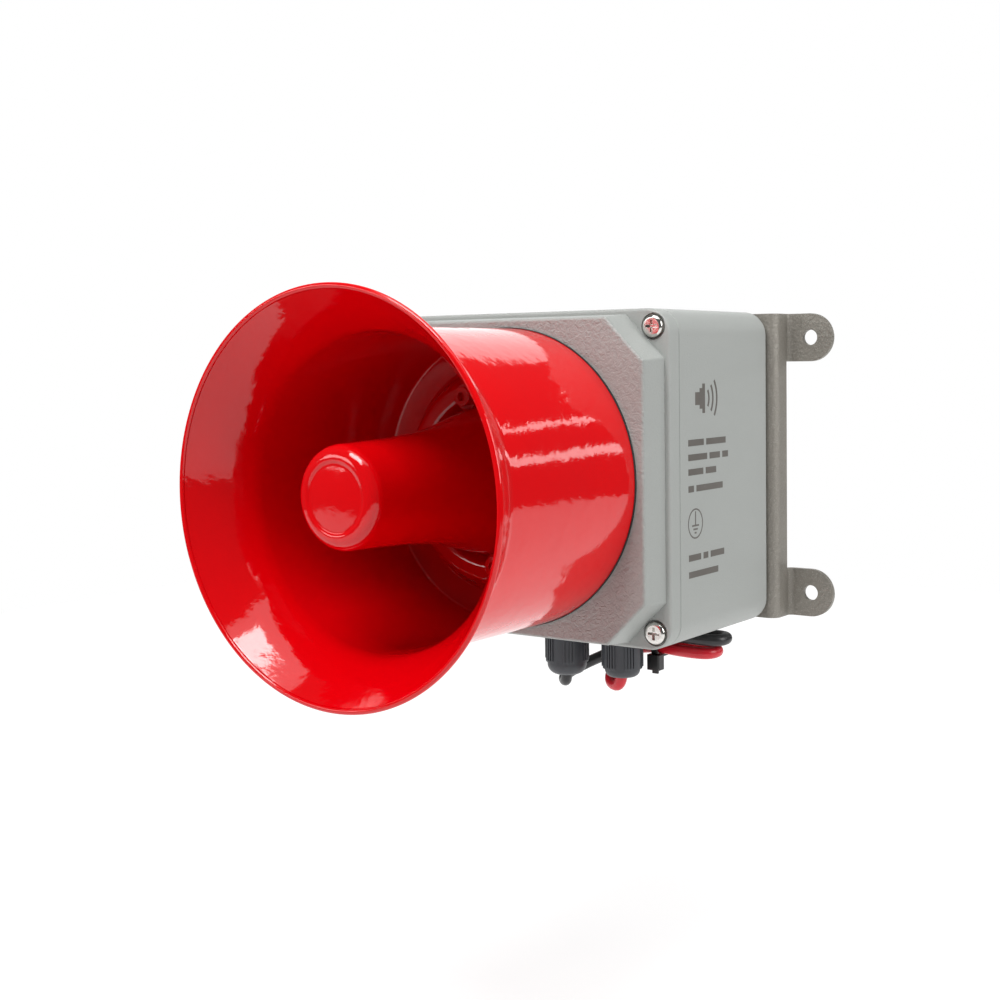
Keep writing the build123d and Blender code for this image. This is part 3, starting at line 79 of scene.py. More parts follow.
# %% [markdown]
# Two round leads leave the glands, turn back under the box and are folded into one flat hank, held by
# a cable tie. A cord could be a swept mesh, but a curve with a round bevel stays smooth at any size and
# keeps its length. The points are the route's corners, and the curve passes inside them, as a stiff
# lead does.

# %% Lay the two leads
LEAD_DIAMETER = 4.6 * MM
BLACK_ROUTE = [
    (-13.0, -47.0, -75.6), (-13.0, -47.0, -87.4), (-21.6, -37.8, -86.9), (-15.5, -29.6, -82.4),
    (-4.5, -28.8, -77.2), (5.5, -28.4, -71.4), (13.0, -30.4, -67.2), (22.5, -32.4, -66.1),
    (34.5, -35.4, -66.0), (48.5, -35.0, -66.2), (48.7, -24.4, -66.2), (35.0, -23.9, -66.4),
    (22.5, -27.6, -66.2), (10.0, -25.2, -65.6), (-3.0, -23.2, -65.4), (-16.5, -24.2, -65.4),
    (-29.0, -28.0, -65.8),
]
RED_ROUTE = [
    (13.0, -47.0, -75.6), (13.0, -47.0, -86.0), (3.0, -42.0, -85.8), (3.6, -35.8, -78.0),
    (10.5, -33.4, -72.6), (21.0, -32.1, -71.4), (32.0, -35.3, -71.5), (44.5, -35.0, -71.6),
    (44.7, -24.4, -71.6), (32.5, -24.3, -71.6), (21.0, -27.7, -71.4), (9.0, -23.4, -71.2),
    (-4.5, -19.8, -70.4), (-19.0, -19.2, -69.0), (-32.0, -21.4, -67.6),
]


def lay_lead(name, route):
    """A round lead along one smooth line inside the route's corners."""
    curve = bpy.data.curves.new(name, "CURVE")
    curve.dimensions = "3D"
    curve.bevel_depth = LEAD_DIAMETER / 2
    curve.bevel_resolution = 7
    curve.use_fill_caps = True
    line = curve.splines.new("NURBS")
    line.points.add(len(route) - 1)
    for point, place in zip(line.points, route):
        point.co = (place[0] * MM, place[1] * MM, place[2] * MM, 1.0)
    line.order_u = 3
    line.use_endpoint_u = True
    line.resolution_u = 10
    lead = bpy.data.objects.new(name, curve)
    bpy.context.collection.objects.link(lead)
    print(name, "has", len(route), "points")
    return lead


black_lead = lay_lead("black_lead_outside", BLACK_ROUTE)
red_lead = lay_lead("red_lead_outside", RED_ROUTE)

# %% [markdown]
# A finish is a small graph of shader nodes. Written node by node it hides what it does, so one class
# wraps a socket and lets Python's own signs stand for Math nodes: `1 - mask * 0.3` reads as it works.
# Everything else goes through one method, which takes a node's kind, its settings and its sockets.

# %% Sockets that can be added and multiplied
class Signal:
    """One socket in a finish. A sum or a product of signals adds a Math node."""

    def __init__(self, finish, socket):
        self.finish = finish
        self.socket = socket

    def maths(self, operation, first, second):
        return self.finish.add("ShaderNodeMath", {"operation": operation}, {0: first, 1: second})

    def __add__(self, other):
        return self.maths("ADD", self, other)

    def __radd__(self, other):
        return self.maths("ADD", other, self)

    def __sub__(self, other):
        return self.maths("SUBTRACT", self, other)

    def __rsub__(self, other):
        return self.maths("SUBTRACT", other, self)

    def __mul__(self, other):
        return self.maths("MULTIPLY", self, other)

    def __rmul__(self, other):
        return self.maths("MULTIPLY", other, self)


class Finish:
    """A material and the few kinds of node that the siren's finishes are made of."""

    def __init__(self, name, constants):
        self.material = bpy.data.materials.new(name)
        self.material.use_nodes = True
        self.tree = self.material.node_tree
        self.shader = self.tree.nodes["Principled BSDF"]
        self.place = self.add("ShaderNodeTexCoord", {}, {}, "Object")
        for socket, value in constants.items():
            self.shader.inputs[socket].default_value = value

    def add(self, kind, settings, sockets, output=0):
        node = self.tree.nodes.new(kind)
        for setting, value in settings.items():
            setattr(node, setting, value)
        for socket, value in sockets.items():
            self.feed(node.inputs[socket], value)
        return Signal(self, node.outputs[output])

    def feed(self, socket, value):
        if isinstance(value, Signal):
            self.tree.links.new(value.socket, socket)
        else:
            socket.default_value = value

    def give(self, **values):
        """Feeds the shader's sockets: base_color=..., roughness=..., normal=..."""
        for name, value in values.items():
            self.feed(self.shader.inputs[name.replace("_", " ").title()], value)
        return self.material

    def stretched(self, amounts):
        return self.add("ShaderNodeMapping", {}, {"Vector": self.place, "Scale": amounts})

    def noise(self, scale, detail=2.0, roughness=0.5, place=None, distortion=0.0):
        sockets = {"Vector": place or self.place, "Scale": scale, "Detail": detail,
                   "Roughness": roughness, "Distortion": distortion}
        return self.add("ShaderNodeTexNoise", {}, sockets)

    def cells(self, scale, feature="F1"):
        return self.add("ShaderNodeTexVoronoi", {"feature": feature}, {"Vector": self.place, "Scale": scale})

    def along(self, axis):
        return self.add("ShaderNodeSeparateXYZ", {}, {0: self.place}, axis)

    def between(self, value, low, high):
        """0 where value is at low, 1 where it is at high, with a soft step from one to the other."""
        return self.add("ShaderNodeMapRange", {"interpolation_type": "SMOOTHSTEP"},
                        {"Value": value, "From Min": low, "From Max": high})

    def mix(self, factor, first, second):
        return self.add("ShaderNodeMix", {"data_type": "RGBA"}, {0: factor, 6: first, 7: second}, 2)

    def bump(self, height, depth, strength=1.0):
        return self.add("ShaderNodeBump", {}, {"Height": height, "Distance": depth, "Strength": strength})


def shade(red, green, blue):
    """A colour for a socket."""
    return (red, green, blue, 1.0)


print("finish class ready")

# %% [markdown]
# ## The red enamel
# The horn is cast, then dipped in a thick gloss enamel. Two things make it look wet and real. The
# paint dries with a slight orange peel, so a reflection's edge is ragged. And it lies a little thinner
# on the high spots, so the red isn't one flat value. A clear coat layer could add gloss, but its own
# normal would stay smooth, so the gloss is on the base, where the bump reaches it.

# %% Mix the red enamel
def mix_enamel(name, peel_depth, grain_depth):
    finish = Finish(name, {"IOR": 1.52})
    cloud = finish.noise(38.0, 3.0)
    patch = finish.noise(9.0, 2.0)
    bright = finish.mix(cloud * 0.6, shade(0.70, 0.0, 0.002), shade(0.60, 0.0, 0.004))
    colour = finish.mix(finish.between(patch, 0.45, 0.75) * 0.5, bright, shade(0.64, 0.004, 0.006))
    peel = finish.noise(330.0, 2.0, 0.45, distortion=0.3)
    wave = finish.noise(95.0, 1.0, 0.4)
    grain = finish.noise(2300.0, 2.0, 0.6)
    surface = finish.bump(peel + wave * 2.2, peel_depth)
    fine = finish.add("ShaderNodeBump", {}, {"Height": grain, "Distance": grain_depth, "Normal": surface})
    smear = finish.between(finish.noise(26.0, 4.0, 0.6), 0.5, 0.8)
    return finish.give(base_color=colour, roughness=0.055 + smear * 0.05 + grain * 0.03, normal=fine)


bell_enamel = mix_enamel("red_enamel_bell", 0.00007, 0.0000015)
reflector_enamel = mix_enamel("red_enamel_reflector", 0.00008, 0.00001)
print("enamels:", bell_enamel.name, reflector_enamel.name)

# %% [markdown]
# ## The powder coat
# The box is sprayed with dry powder and baked. The powder melts into a fine, even grain, about half a
# millimetre across. The lid's raised face was cast against a textured die, so it has a coarser and
# leathery grain as well, and the hollows of that grain are darkened with painted shade. The face is
# found by its place: it is the only part of the lid that far forward. Handling leaves faint smears,
# which change the gloss and not the colour.

# %% Mix the grey powder coat
def mix_powder_coat(face_front):
    finish = Finish("grey_powder_coat", {"IOR": 1.48})
    grain = finish.noise(1500.0, 3.0, 0.6)
    speck = finish.between(finish.noise(2600.0, 1.0), 0.62, 0.7)
    cloud = finish.noise(14.0, 3.0, 0.55)
    paint = finish.mix(cloud, shade(0.335, 0.35, 0.335), shade(0.37, 0.385, 0.37))
    paint = finish.mix(speck * 0.22, paint, shade(0.22, 0.23, 0.22))
    raised = 1 - finish.between(finish.along("Y"), face_front + 0.0004, face_front + 0.0011)
    leather = finish.noise(620.0, 2.0, 0.55, distortion=0.8)
    # Painted shade: the low places of the leathery grain are mixed towards a darker grey, as if shadow fell
    # in them.
    paint = finish.mix(raised * finish.between(leather, 0.55, 0.35) * 0.2, paint, shade(0.24, 0.24, 0.235))
    height = grain * 1.5 + raised * leather * 5.0
    smear = finish.between(finish.noise(17.0, 4.0, 0.6), 0.5, 0.75)
    return finish.give(base_color=paint, roughness=0.46 + grain * 0.12 - smear * 0.07,
                       normal=finish.bump(height, 0.00012, 0.75))


powder_coat = mix_powder_coat(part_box("enclosure_lid")[0][1])
print("powder coat:", powder_coat.name)

# %% [markdown]
# ## The bracket's hammered paint
# The bracket is bent sheet steel under a metallic paint that pulls into small round dimples. Voronoi
# cells give the dimples, and fine noise between them gives the glitter of the flakes.

# %% Mix the hammered paint
def mix_hammertone():
    finish = Finish("bracket_hammertone", {"IOR": 1.5})
    dimple = finish.cells(950.0, "SMOOTH_F1")
    flake = finish.noise(3300.0, 2.0, 0.7)
    cloud = finish.noise(30.0, 3.0)
    paint = finish.mix(cloud, shade(0.215, 0.2, 0.175), shade(0.28, 0.262, 0.23))
    glint = finish.between(flake, 0.58, 0.7)
    paint = finish.mix(glint * 0.7, paint, shade(0.60, 0.58, 0.53))
    return finish.give(base_color=paint, metallic=0.35 + glint * 0.5, roughness=0.36 + flake * 0.2,
                       normal=finish.bump(dimple * 1.6 + flake * 0.8, 0.00014, 0.9))


hammertone = mix_hammertone()
print("bracket paint:", hammertone.name)

# %% [markdown]
# ## Bare metals
# Every bare metal here is the same idea with other numbers: a tint, a roughness, fine scratches drawn
# out along one direction, and a little tarnish in the low places. One function makes them all.

# %% Mix the bare metals
def mix_metal(name, tint, tarnish, gloss, grain=(1.0, 1.0, 1.0), scratch=0.000004):
    finish = Finish(name, {"Metallic": 1.0})
    drawn = finish.stretched(grain)
    lines = finish.noise(1800.0, 3.0, 0.6, drawn)
    cloud = finish.noise(160.0, 4.0, 0.6)
    stain = finish.between(cloud, 0.5, 0.72)
    colour = finish.mix(stain * 0.5, shade(*tint), shade(*tarnish))
    return finish.give(base_color=colour, roughness=gloss + lines * 0.12 + stain * 0.08,
                       normal=finish.bump(lines, scratch))


stainless = mix_metal("polished_stainless", (0.72, 0.70, 0.67), (0.40, 0.38, 0.35), 0.10)
zinc = mix_metal("zinc_plated_steel", (0.62, 0.63, 0.62), (0.42, 0.41, 0.36), 0.24)
turned_alloy = mix_metal("cast_and_turned_alloy", (0.60, 0.61, 0.62), (0.40, 0.40, 0.40), 0.32,
                         (1.0, 14.0, 1.0))
copper = mix_metal("copper", (0.80, 0.36, 0.18), (0.40, 0.16, 0.08), 0.22)
laminations = mix_metal("varnished_laminations", (0.16, 0.14, 0.13), (0.07, 0.055, 0.045), 0.42,
                        (1.0, 22.0, 1.0), 0.00003)
ferrite = mix_metal("ground_ferrite", (0.09, 0.09, 0.095), (0.04, 0.04, 0.042), 0.5)
print("six metals mixed")

# %% [markdown]
# ## Moulded plastics and rubbers
# A moulded part takes its surface from the steel of its mould: an even, very fine spark-eroded grain,
# a slightly different gloss where the melt flowed, and small paler scuffs from handling.

# %% Mix the plastics
def mix_moulded(name, colour, pale, gloss, grain_scale=1400.0, grain_depth=0.00002, constants=None):
    finish = Finish(name, constants or {"IOR": 1.5})
    grain = finish.noise(grain_scale, 3.0, 0.6)
    flow = finish.noise(60.0, 3.0, 0.5)
    scuff = finish.between(finish.noise(420.0, 4.0, 0.7), 0.62, 0.78)
    body = finish.mix(flow * 0.5 + scuff * 0.35, shade(*colour), shade(*pale))
    return finish.give(base_color=body, roughness=gloss + flow * 0.1 + scuff * 0.12,
                       normal=finish.bump(grain, grain_depth, 0.7))


gland_nylon = mix_moulded("gland_nylon", (0.042, 0.045, 0.052), (0.075, 0.08, 0.09), 0.36)
black_jacket = mix_moulded("black_lead_jacket", (0.012, 0.012, 0.013), (0.03, 0.03, 0.032), 0.30)
red_jacket = mix_moulded("red_lead_jacket", (0.56, 0.006, 0.018), (0.66, 0.02, 0.035), 0.28)
tie_nylon = mix_moulded("tie_nylon", (0.010, 0.010, 0.011), (0.03, 0.03, 0.03), 0.26)
rubber = mix_moulded("gasket_rubber", (0.018, 0.018, 0.019), (0.045, 0.045, 0.045), 0.62)
black_shell = mix_moulded("black_driver_paint", (0.022, 0.022, 0.024), (0.05, 0.05, 0.05), 0.34)
black_moulding = mix_moulded("black_moulding", (0.02, 0.02, 0.02), (0.05, 0.05, 0.05), 0.45)
green_moulding = mix_moulded("terminal_green", (0.02, 0.22, 0.08), (0.05, 0.32, 0.13), 0.32)
blue_sleeve = mix_moulded("capacitor_sleeve", (0.015, 0.03, 0.12), (0.03, 0.06, 0.2), 0.2)
brown_wire = mix_moulded("brown_insulation", (0.16, 0.06, 0.03), (0.24, 0.1, 0.05), 0.35)
blue_wire = mix_moulded("blue_insulation", (0.02, 0.09, 0.38), (0.05, 0.15, 0.5), 0.35)
ink = mix_moulded("dark_ink", (0.085, 0.075, 0.065), (0.19, 0.18, 0.165), 0.5, 2200.0, 0.00001)
fuse_glass = mix_moulded("fuse_glass", (0.9, 0.93, 0.93), (0.95, 0.97, 0.97), 0.03, 300.0, 0.000004,
                         {"IOR": 1.5, "Transmission Weight": 1.0})
print("thirteen plastics mixed")

# %% [markdown]
# ## Three patterned finishes
# A circuit board is green lacquer over copper tracks, so the tracks show as a paler green. A winding's
# last turns lie side by side under yellow tape. The diaphragm is pressed from resin-bonded cloth, and
# the weave shows through. An earth wire is green with yellow bands.

# %% Mix the patterned finishes
def mix_board():
    finish = Finish("green_board", {"IOR": 1.55})
    track = 1 - finish.between(finish.cells(160.0, "DISTANCE_TO_EDGE"), 0.03, 0.06)
    pad = 1 - finish.between(finish.cells(420.0), 0.16, 0.2)
    lacquer = finish.mix(track, shade(0.012, 0.11, 0.04), shade(0.03, 0.2, 0.08))
    colour = finish.mix(pad * 0.8, lacquer, shade(0.62, 0.62, 0.6))
    return finish.give(base_color=colour, metallic=pad * 0.8, roughness=0.3 + track * 0.08,
                       normal=finish.bump(track + pad, 0.00003))


def mix_bands(name, dark, light, count, gloss, ridge):
    """Bands across Z, such as the turns of a winding, the rows of a weave or a wire's stripes."""
    finish = Finish(name, {"IOR": 1.5})
    band = finish.add("ShaderNodeTexWave", {"bands_direction": "Z"},
                      {"Vector": finish.place, "Scale": count, "Distortion": 0.6, "Detail Scale": 40.0}, 1)
    speck = finish.noise(900.0, 3.0)
    colour = finish.mix(band * 0.8 + speck * 0.2, shade(*dark), shade(*light))
    return finish.give(base_color=colour, roughness=gloss + speck * 0.15, normal=finish.bump(band, ridge))


board_green = mix_board()
winding_tape = mix_bands("yellow_winding_tape", (0.45, 0.26, 0.02), (0.72, 0.46, 0.05), 260.0, 0.35, 0.00005)
film = mix_bands("pressed_cloth_film", (0.26, 0.12, 0.04), (0.42, 0.22, 0.09), 620.0, 0.4, 0.00002)
earth_stripes = mix_bands("green_and_yellow", (0.03, 0.2, 0.03), (0.55, 0.48, 0.03), 36.0, 0.35, 0.00001)
print("patterned finishes mixed")

# %% [markdown]
# ## From a shape to a finished piece
# Every new piece ends the same way: its faces are shaded smooth, the edges that are really sharp are
# marked, it is named, it rides on its body of the mechanism, and the CAD nodes it stands for are
# hidden. Marking edges by their angle is what the editor's shade by angle does.

# %% Finish a piece, and round a CAD node's edges
SHARP = math.radians(32.0)
FLAT = math.radians(0.3)
SAME_PLACE = 0.000002


def finish_piece(shape, name, body, slot, materials, nodes):
    for face in shape.faces:
        face.smooth = True
    for edge in shape.edges:
        edge.smooth = len(edge.link_faces) == 2 and edge.calc_face_angle(math.pi) < SHARP
    mesh = bpy.data.meshes.new(name)
    shape.to_mesh(mesh)
    shape.free()
    for material in materials:
        mesh.materials.append(material)
    piece = bpy.data.objects.new(name, mesh)
    bpy.context.collection.objects.link(piece)
    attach(piece, body)
    if nodes:
        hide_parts(*nodes)
    print(name, "has", len(mesh.polygons), "faces")
    return piece


def merged_copy(node):
    """A node's triangles with their doubles merged and its flat faces made whole again."""
    shape = bmesh.new()
    shape.from_mesh(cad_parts[node].data)
    bmesh.ops.remove_doubles(shape, verts=shape.verts, dist=SAME_PLACE)
    bmesh.ops.dissolve_limit(shape, angle_limit=FLAT, verts=shape.verts, edges=shape.edges)
    return shape


def round_edges(shape, width):
    edges = [e for e in shape.edges if len(e.link_faces) == 2 and e.calc_face_angle(0.0) > SHARP]
    bmesh.ops.bevel(shape, geom=edges, offset=width, offset_type="OFFSET", segments=2,
                    profile=0.5, affect="EDGES", material=-1, clamp_overlap=True)


def dress(node, body, slot, material, width=0.0):
    """A rounded copy of a node that stands for it."""
    shape = merged_copy(node)
    if width:
        round_edges(shape, width)
    piece = finish_piece(shape, node + "_piece", body, slot, [material], [node])
    even = piece.modifiers.new("even_shading", "WEIGHTED_NORMAL")
    even.keep_sharp = True
    return piece


print("helpers ready")

# %% [markdown]
# ## The horn
# The bell is one shape turned about the horn's axis, so its half section says everything. The section
# is drawn as a closed ring of straight runs. Then each corner is bevelled by its own amount, which
# turns it into an arc that meets both runs smoothly, and the ring is spun once round. The flare is two
# such arcs: a short one where it leaves the pipe and a long one that opens to the mouth.

# %% Section and spin of the bell
Y_HORN = -104.8
Y_FLOOR = -107.2
Y_LIP = -199.5
PIPE = 52.4
WALL = 1.6
LIP = 65.5
SHORT_BEND = math.radians(22.0)
LONG_BEND = math.radians(14.0)
SHORT_RADIUS = 12.0
LONG_RADIUS = 60.0
STEPS = 256
RING_FOOT = 41.5
RING_TOP = 36.5
RING_HEIGHT = 9.0
RING_INSIDE_TOP = 30.5
RING_INSIDE_FOOT = 25.5
FLOOR_STEP = 2.4
HUB = 14.0
HUB_HEIGHT = 13.0
BORE = 10.0


def draw_ring(shape, places, corners):
    """A closed ring of edges in the XY plane; corners gives the bevel at a place's number."""
    verts = [shape.verts.new((r * MM, y * MM, 0.0)) for r, y in places]
    for start, end in zip(verts, verts[1:] + verts[:1]):
        shape.edges.new((start, end))
    for number, (width, segments) in corners.items():
        bmesh.ops.bevel(shape, geom=[verts[number]], offset=width * MM, offset_type="OFFSET",
                        segments=segments, profile=0.5, affect="VERTICES", material=-1)


def spin_ring(shape, steps=STEPS):
    """Turns everything in the shape once about the Y axis and closes it."""
    bmesh.ops.spin(shape, geom=shape.verts[:] + shape.edges[:], cent=(0, 0, 0), axis=(0, 1, 0),
                   angle=math.tau, steps=steps, use_merge=True)
    bmesh.ops.remove_doubles(shape, verts=shape.verts, dist=0.000001)
    bmesh.ops.recalc_face_normals(shape, faces=shape.faces)


def flare_corners(offset):
    """The two corners of the flare and its end, for a wall line that lies offset outside the inner one."""
    whole = SHORT_BEND + LONG_BEND
    first_run = SHORT_RADIUS * math.tan(SHORT_BEND / 2) + LONG_RADIUS * math.tan(LONG_BEND / 2)
    last_out = LIP - PIPE - first_run * math.sin(SHORT_BEND)
    end = (LIP + offset * math.cos(whole), Y_LIP + offset * math.sin(whole))
    middle_angle = SHORT_BEND + LONG_BEND / 2
    middle_reach = offset / math.cos(LONG_BEND / 2)
    middle_y = Y_LIP + last_out / math.tan(whole)
    middle = (PIPE + first_run * math.sin(SHORT_BEND) + middle_reach * math.cos(middle_angle),
              middle_y + middle_reach * math.sin(middle_angle))
    start = (PIPE + offset, middle_y + first_run * math.cos(SHORT_BEND) + offset * math.tan(SHORT_BEND / 2))
    return start, middle, end


def bend_widths(offset):
    short = (SHORT_RADIUS - offset) * math.tan(SHORT_BEND / 2)
    long = (LONG_RADIUS - offset) * math.tan(LONG_BEND / 2)
    return short, long


inner_start, inner_middle, inner_end = flare_corners(0.0)
outer_start, outer_middle, outer_end = flare_corners(WALL)
bell = bmesh.new()
section = [
    (PIPE + WALL, Y_HORN), outer_start, outer_middle, outer_end, inner_end, inner_middle, inner_start,
    (PIPE, Y_FLOOR), (RING_FOOT, Y_FLOOR), (RING_TOP, Y_FLOOR - RING_HEIGHT),
    (RING_INSIDE_TOP, Y_FLOOR - RING_HEIGHT), (RING_INSIDE_FOOT, Y_FLOOR - FLOOR_STEP),
    (HUB, Y_FLOOR - FLOOR_STEP), (HUB, Y_HORN - HUB_HEIGHT), (BORE, Y_HORN - HUB_HEIGHT), (BORE, Y_HORN),
]
draw_ring(bell, section, {
    1: (bend_widths(WALL)[0], 8), 2: (bend_widths(WALL)[1], 14), 5: (bend_widths(0.0)[1], 14),
    6: (bend_widths(0.0)[0], 8), 7: (1.2, 4), 8: (1.5, 5), 9: (2.0, 6), 10: (1.2, 4), 11: (1.5, 4),
    13: (0.8, 3), 14: (0.8, 3)})
spin_ring(bell)

# %% [markdown]
# The mouth's edge is rolled into a thin bead, which gives the bright line round the horn. Four round
# posts stand on the floor for the reflector's screws.

# %% Rolled lip and the four posts
EAR_CIRCLE = 30.5
EAR_TURN = math.radians(12.0)
EAR_COUNT = 4
EAR_RADIUS = 4.8
POST_BACK = Y_HORN - 1.0
POST_FRONT = Y_HORN - 12.6
POST_ROUND = 0.4
BEAD_RADIUS = 1.0


def ear_places():
    turns = [EAR_TURN + quarter * math.pi / 2 for quarter in range(EAR_COUNT)]
    return [(EAR_CIRCLE * math.cos(turn), EAR_CIRCLE * math.sin(turn)) for turn in turns]


def add_post(shape, x, z, radius, back, front, segments=48):
    """A round post along Y with its front edge rounded."""
    made = bmesh.ops.create_cone(shape, cap_ends=True, segments=segments, radius1=radius * MM,
                                 radius2=radius * MM, depth=abs(back - front) * MM)
    bmesh.ops.rotate(shape, verts=made["verts"], cent=(0, 0, 0), matrix=Matrix.Rotation(math.pi / 2, 3, "X"))
    bmesh.ops.translate(shape, verts=made["verts"], vec=(x * MM, (back + front) / 2 * MM, z * MM))
    front_edges = [e for e in shape.edges if e.verts[0] in made["verts"] and e.verts[1] in made["verts"]
                   and all(v.co.y < (front + 0.01) * MM for v in e.verts)]
    bmesh.ops.bevel(shape, geom=front_edges, offset=POST_ROUND * MM, offset_type="OFFSET", segments=3,
                    profile=0.5, affect="EDGES", material=-1)


bead = bmesh.new()
bead_at = ((outer_end[0] + inner_end[0]) / 2, (outer_end[1] + inner_end[1]) / 2)
circle = bmesh.ops.create_circle(bead, segments=20, radius=BEAD_RADIUS * MM)
bmesh.ops.translate(bead, verts=circle["verts"], vec=(bead_at[0] * MM, bead_at[1] * MM, 0.0))
spin_ring(bead)
bead_mesh = bpy.data.meshes.new("bead")
bead.to_mesh(bead_mesh)
bead.free()
bell.from_mesh(bead_mesh)
for x, z in ear_places():
    add_post(bell, x, z, EAR_RADIUS, POST_BACK, POST_FRONT)
bell_piece = finish_piece(bell, "bell", "housing", "horn_paint", [bell_enamel], ["horn_bell"])

# %% [markdown]
# ## The reflector
# A closed cup stands in the middle of the horn and turns the sound back on itself. It is another spun
# section: a slightly domed disc with a groove round it in a rounded nose, a slim neck, and a skirt that
# flares to the ears.

# %% Section, spin and ears of the reflector
FRONT = -196.4
SKIRT = -117.4
EAR_THICK = 2.4
EAR_HOLE = 2.3
CUP_WALL = 2.0
NOSE = 16.8
NOSE_WALL = 4.0
NECK = ((17.6, -168.0), (18.9, -152.0), (22.0, -135.0))
SKIRT_RADIUS = 27.0
reflector = bmesh.new()
cup = [(0.0, FRONT - 0.35), (6.0, FRONT - 0.2), (11.0, FRONT + 0.5), (11.9, FRONT), (NOSE, FRONT)]
cup += NECK
cup += [(SKIRT_RADIUS, SKIRT), (SKIRT_RADIUS - CUP_WALL, SKIRT)]
cup += [(reach - CUP_WALL, y) for reach, y in reversed(NECK)]
cup += [(NOSE - CUP_WALL, FRONT + NOSE_WALL), (0.0, FRONT + NOSE_WALL)]
draw_ring(reflector, cup, {1: (4.0, 6), 2: (0.3, 2), 3: (0.4, 2), 4: (4.4, 10), 5: (7.5, 6), 6: (7.5, 6),
                           7: (7.5, 6), 8: (0.6, 3), 10: (7.5, 6), 11: (7.0, 6), 12: (7.0, 6)})
spin_ring(reflector, 160)


def add_ear(shape, x, z):
    """A flat round ear with a screw hole, cut from two circles."""
    outer = bmesh.ops.create_circle(shape, segments=40, radius=EAR_RADIUS * MM)["verts"]
    hole = bmesh.ops.create_circle(shape, segments=40, radius=EAR_HOLE * MM)["verts"]
    rims = [e for e in shape.edges if e.verts[0] in outer + hole and e.verts[1] in outer + hole]
    faces = bmesh.ops.bridge_loops(shape, edges=rims)["faces"]
    lifted = bmesh.ops.extrude_face_region(shape, geom=faces)["geom"]
    top = [g for g in lifted if isinstance(g, bmesh.types.BMVert)]
    bmesh.ops.translate(shape, verts=top, vec=(0, 0, EAR_THICK * MM))
    every = outer + hole + top
    bmesh.ops.rotate(shape, verts=every, cent=(0, 0, 0), matrix=Matrix.Rotation(math.pi / 2, 3, "X"))
    bmesh.ops.translate(shape, verts=every, vec=(x * MM, SKIRT * MM, z * MM))


for x, z in ear_places():
    add_ear(reflector, x, z)
bmesh.ops.recalc_face_normals(reflector, faces=reflector.faces)
reflector_piece = finish_piece(reflector, "reflector", "housing", "horn_paint", [reflector_enamel],
                               ["horn_reflector"])

# %% [markdown]
# ## Rounded copies of the other outside pieces
# The box, the bracket, the glands and the screws already have the right shape. What CAD leaves out is
# the tiny radius that tumbling, moulding or paint gives to every edge, and that radius is what catches
# the light. So each is copied, merged, and given a narrow bevel.

# %% Dress the outside pieces
OUTSIDE = {
    "enclosure_body": ("housing", "enclosure_paint", powder_coat, 0.35),
    "enclosure_lid": ("housing", "enclosure_paint", powder_coat, 0.45),
    "wall_bracket": ("housing", "bracket_paint", hammertone, 0.3),
    "lid_screws": ("housing", "stainless_steel", stainless, 0.12),
    "bracket_screws": ("housing", "stainless_steel", stainless, 0.12),
    "m4_washers": ("housing", "stainless_steel", stainless, 0.1),
    "reflector_screws": ("housing", "plated_steel", reflector_enamel, 0.1),
    "throat_tube": ("housing", "horn_paint", bell_enamel, 0.2),
    "left_gland_body": ("housing", "gland_plastic", gland_nylon, 0.25),
    "right_gland_body": ("housing", "gland_plastic", gland_nylon, 0.25),
    "left_gland_cap": ("left_cap", "gland_plastic", gland_nylon, 0.12),
    "right_gland_cap": ("right_cap", "gland_plastic", gland_nylon, 0.12),
    "left_gland_washer": ("housing", "gasket_rubber", rubber, 0.0),
    "right_gland_washer": ("housing", "gasket_rubber", rubber, 0.0),
    "horn_gasket": ("housing", "gasket_rubber", rubber, 0.0),
    "cable_tie": ("housing", "tie_nylon", tie_nylon, 0.15),
}
for node, (body, slot, material, width) in OUTSIDE.items():
    dress(node, body, slot, material, width * MM)

# %% [markdown]
# ## The cut ends of the leads
# Each lead ends in its bare cores: coloured insulation, stripped to a few millimetres of tinned
# copper. The CAD node holds them all, so its separate shells are coloured one by one, and the faces
# past the end of the insulation are given the metal.

# %% Dress the cores
def shells(shape):
    """The faces of each separate shell of a shape."""
    left = set(shape.faces)
    while left:
        shell = set()
        edge = [left.pop()]
        while edge:
            face = edge.pop()
            shell.add(face)
            for near in {f for e in face.edges for f in e.link_faces} & left:
                left.discard(near)
                edge.append(near)
        yield shell


def dress_cores(node, colours, tip_x):
    shape = merged_copy(node)
    ordered = sorted(shells(shape), key=lambda shell: min(f.calc_center_median().y for f in shell))
    for number, shell in enumerate(ordered):
        for face in shell:
            bare = face.calc_center_median().x < tip_x * MM
            face.material_index = len(colours) if bare else number % len(colours)
    return finish_piece(shape, node + "_piece", "housing", "wire_insulation", colours + [copper], [node])


black_cores = dress_cores("black_lead_cores", [brown_wire, blue_wire, earth_stripes], -35.4)
red_cores = dress_cores("red_lead_cores", [red_jacket, black_jacket], -38.2)

# %% Give the leads their jackets and hang them on the housing
for lead, material, node, slot in ((black_lead, black_jacket, "black_lead", "black_jacket"),
                                   (red_lead, red_jacket, "red_lead", "red_jacket")):
    lead.data.materials.append(material)
    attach(lead, "housing")
    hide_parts(node)

# %% [markdown]
# ## Pieces inside the box
# Nobody sees these until the lid is off, but the model can be opened. Their CAD shapes are kept, and
# each gets a finish of its own.

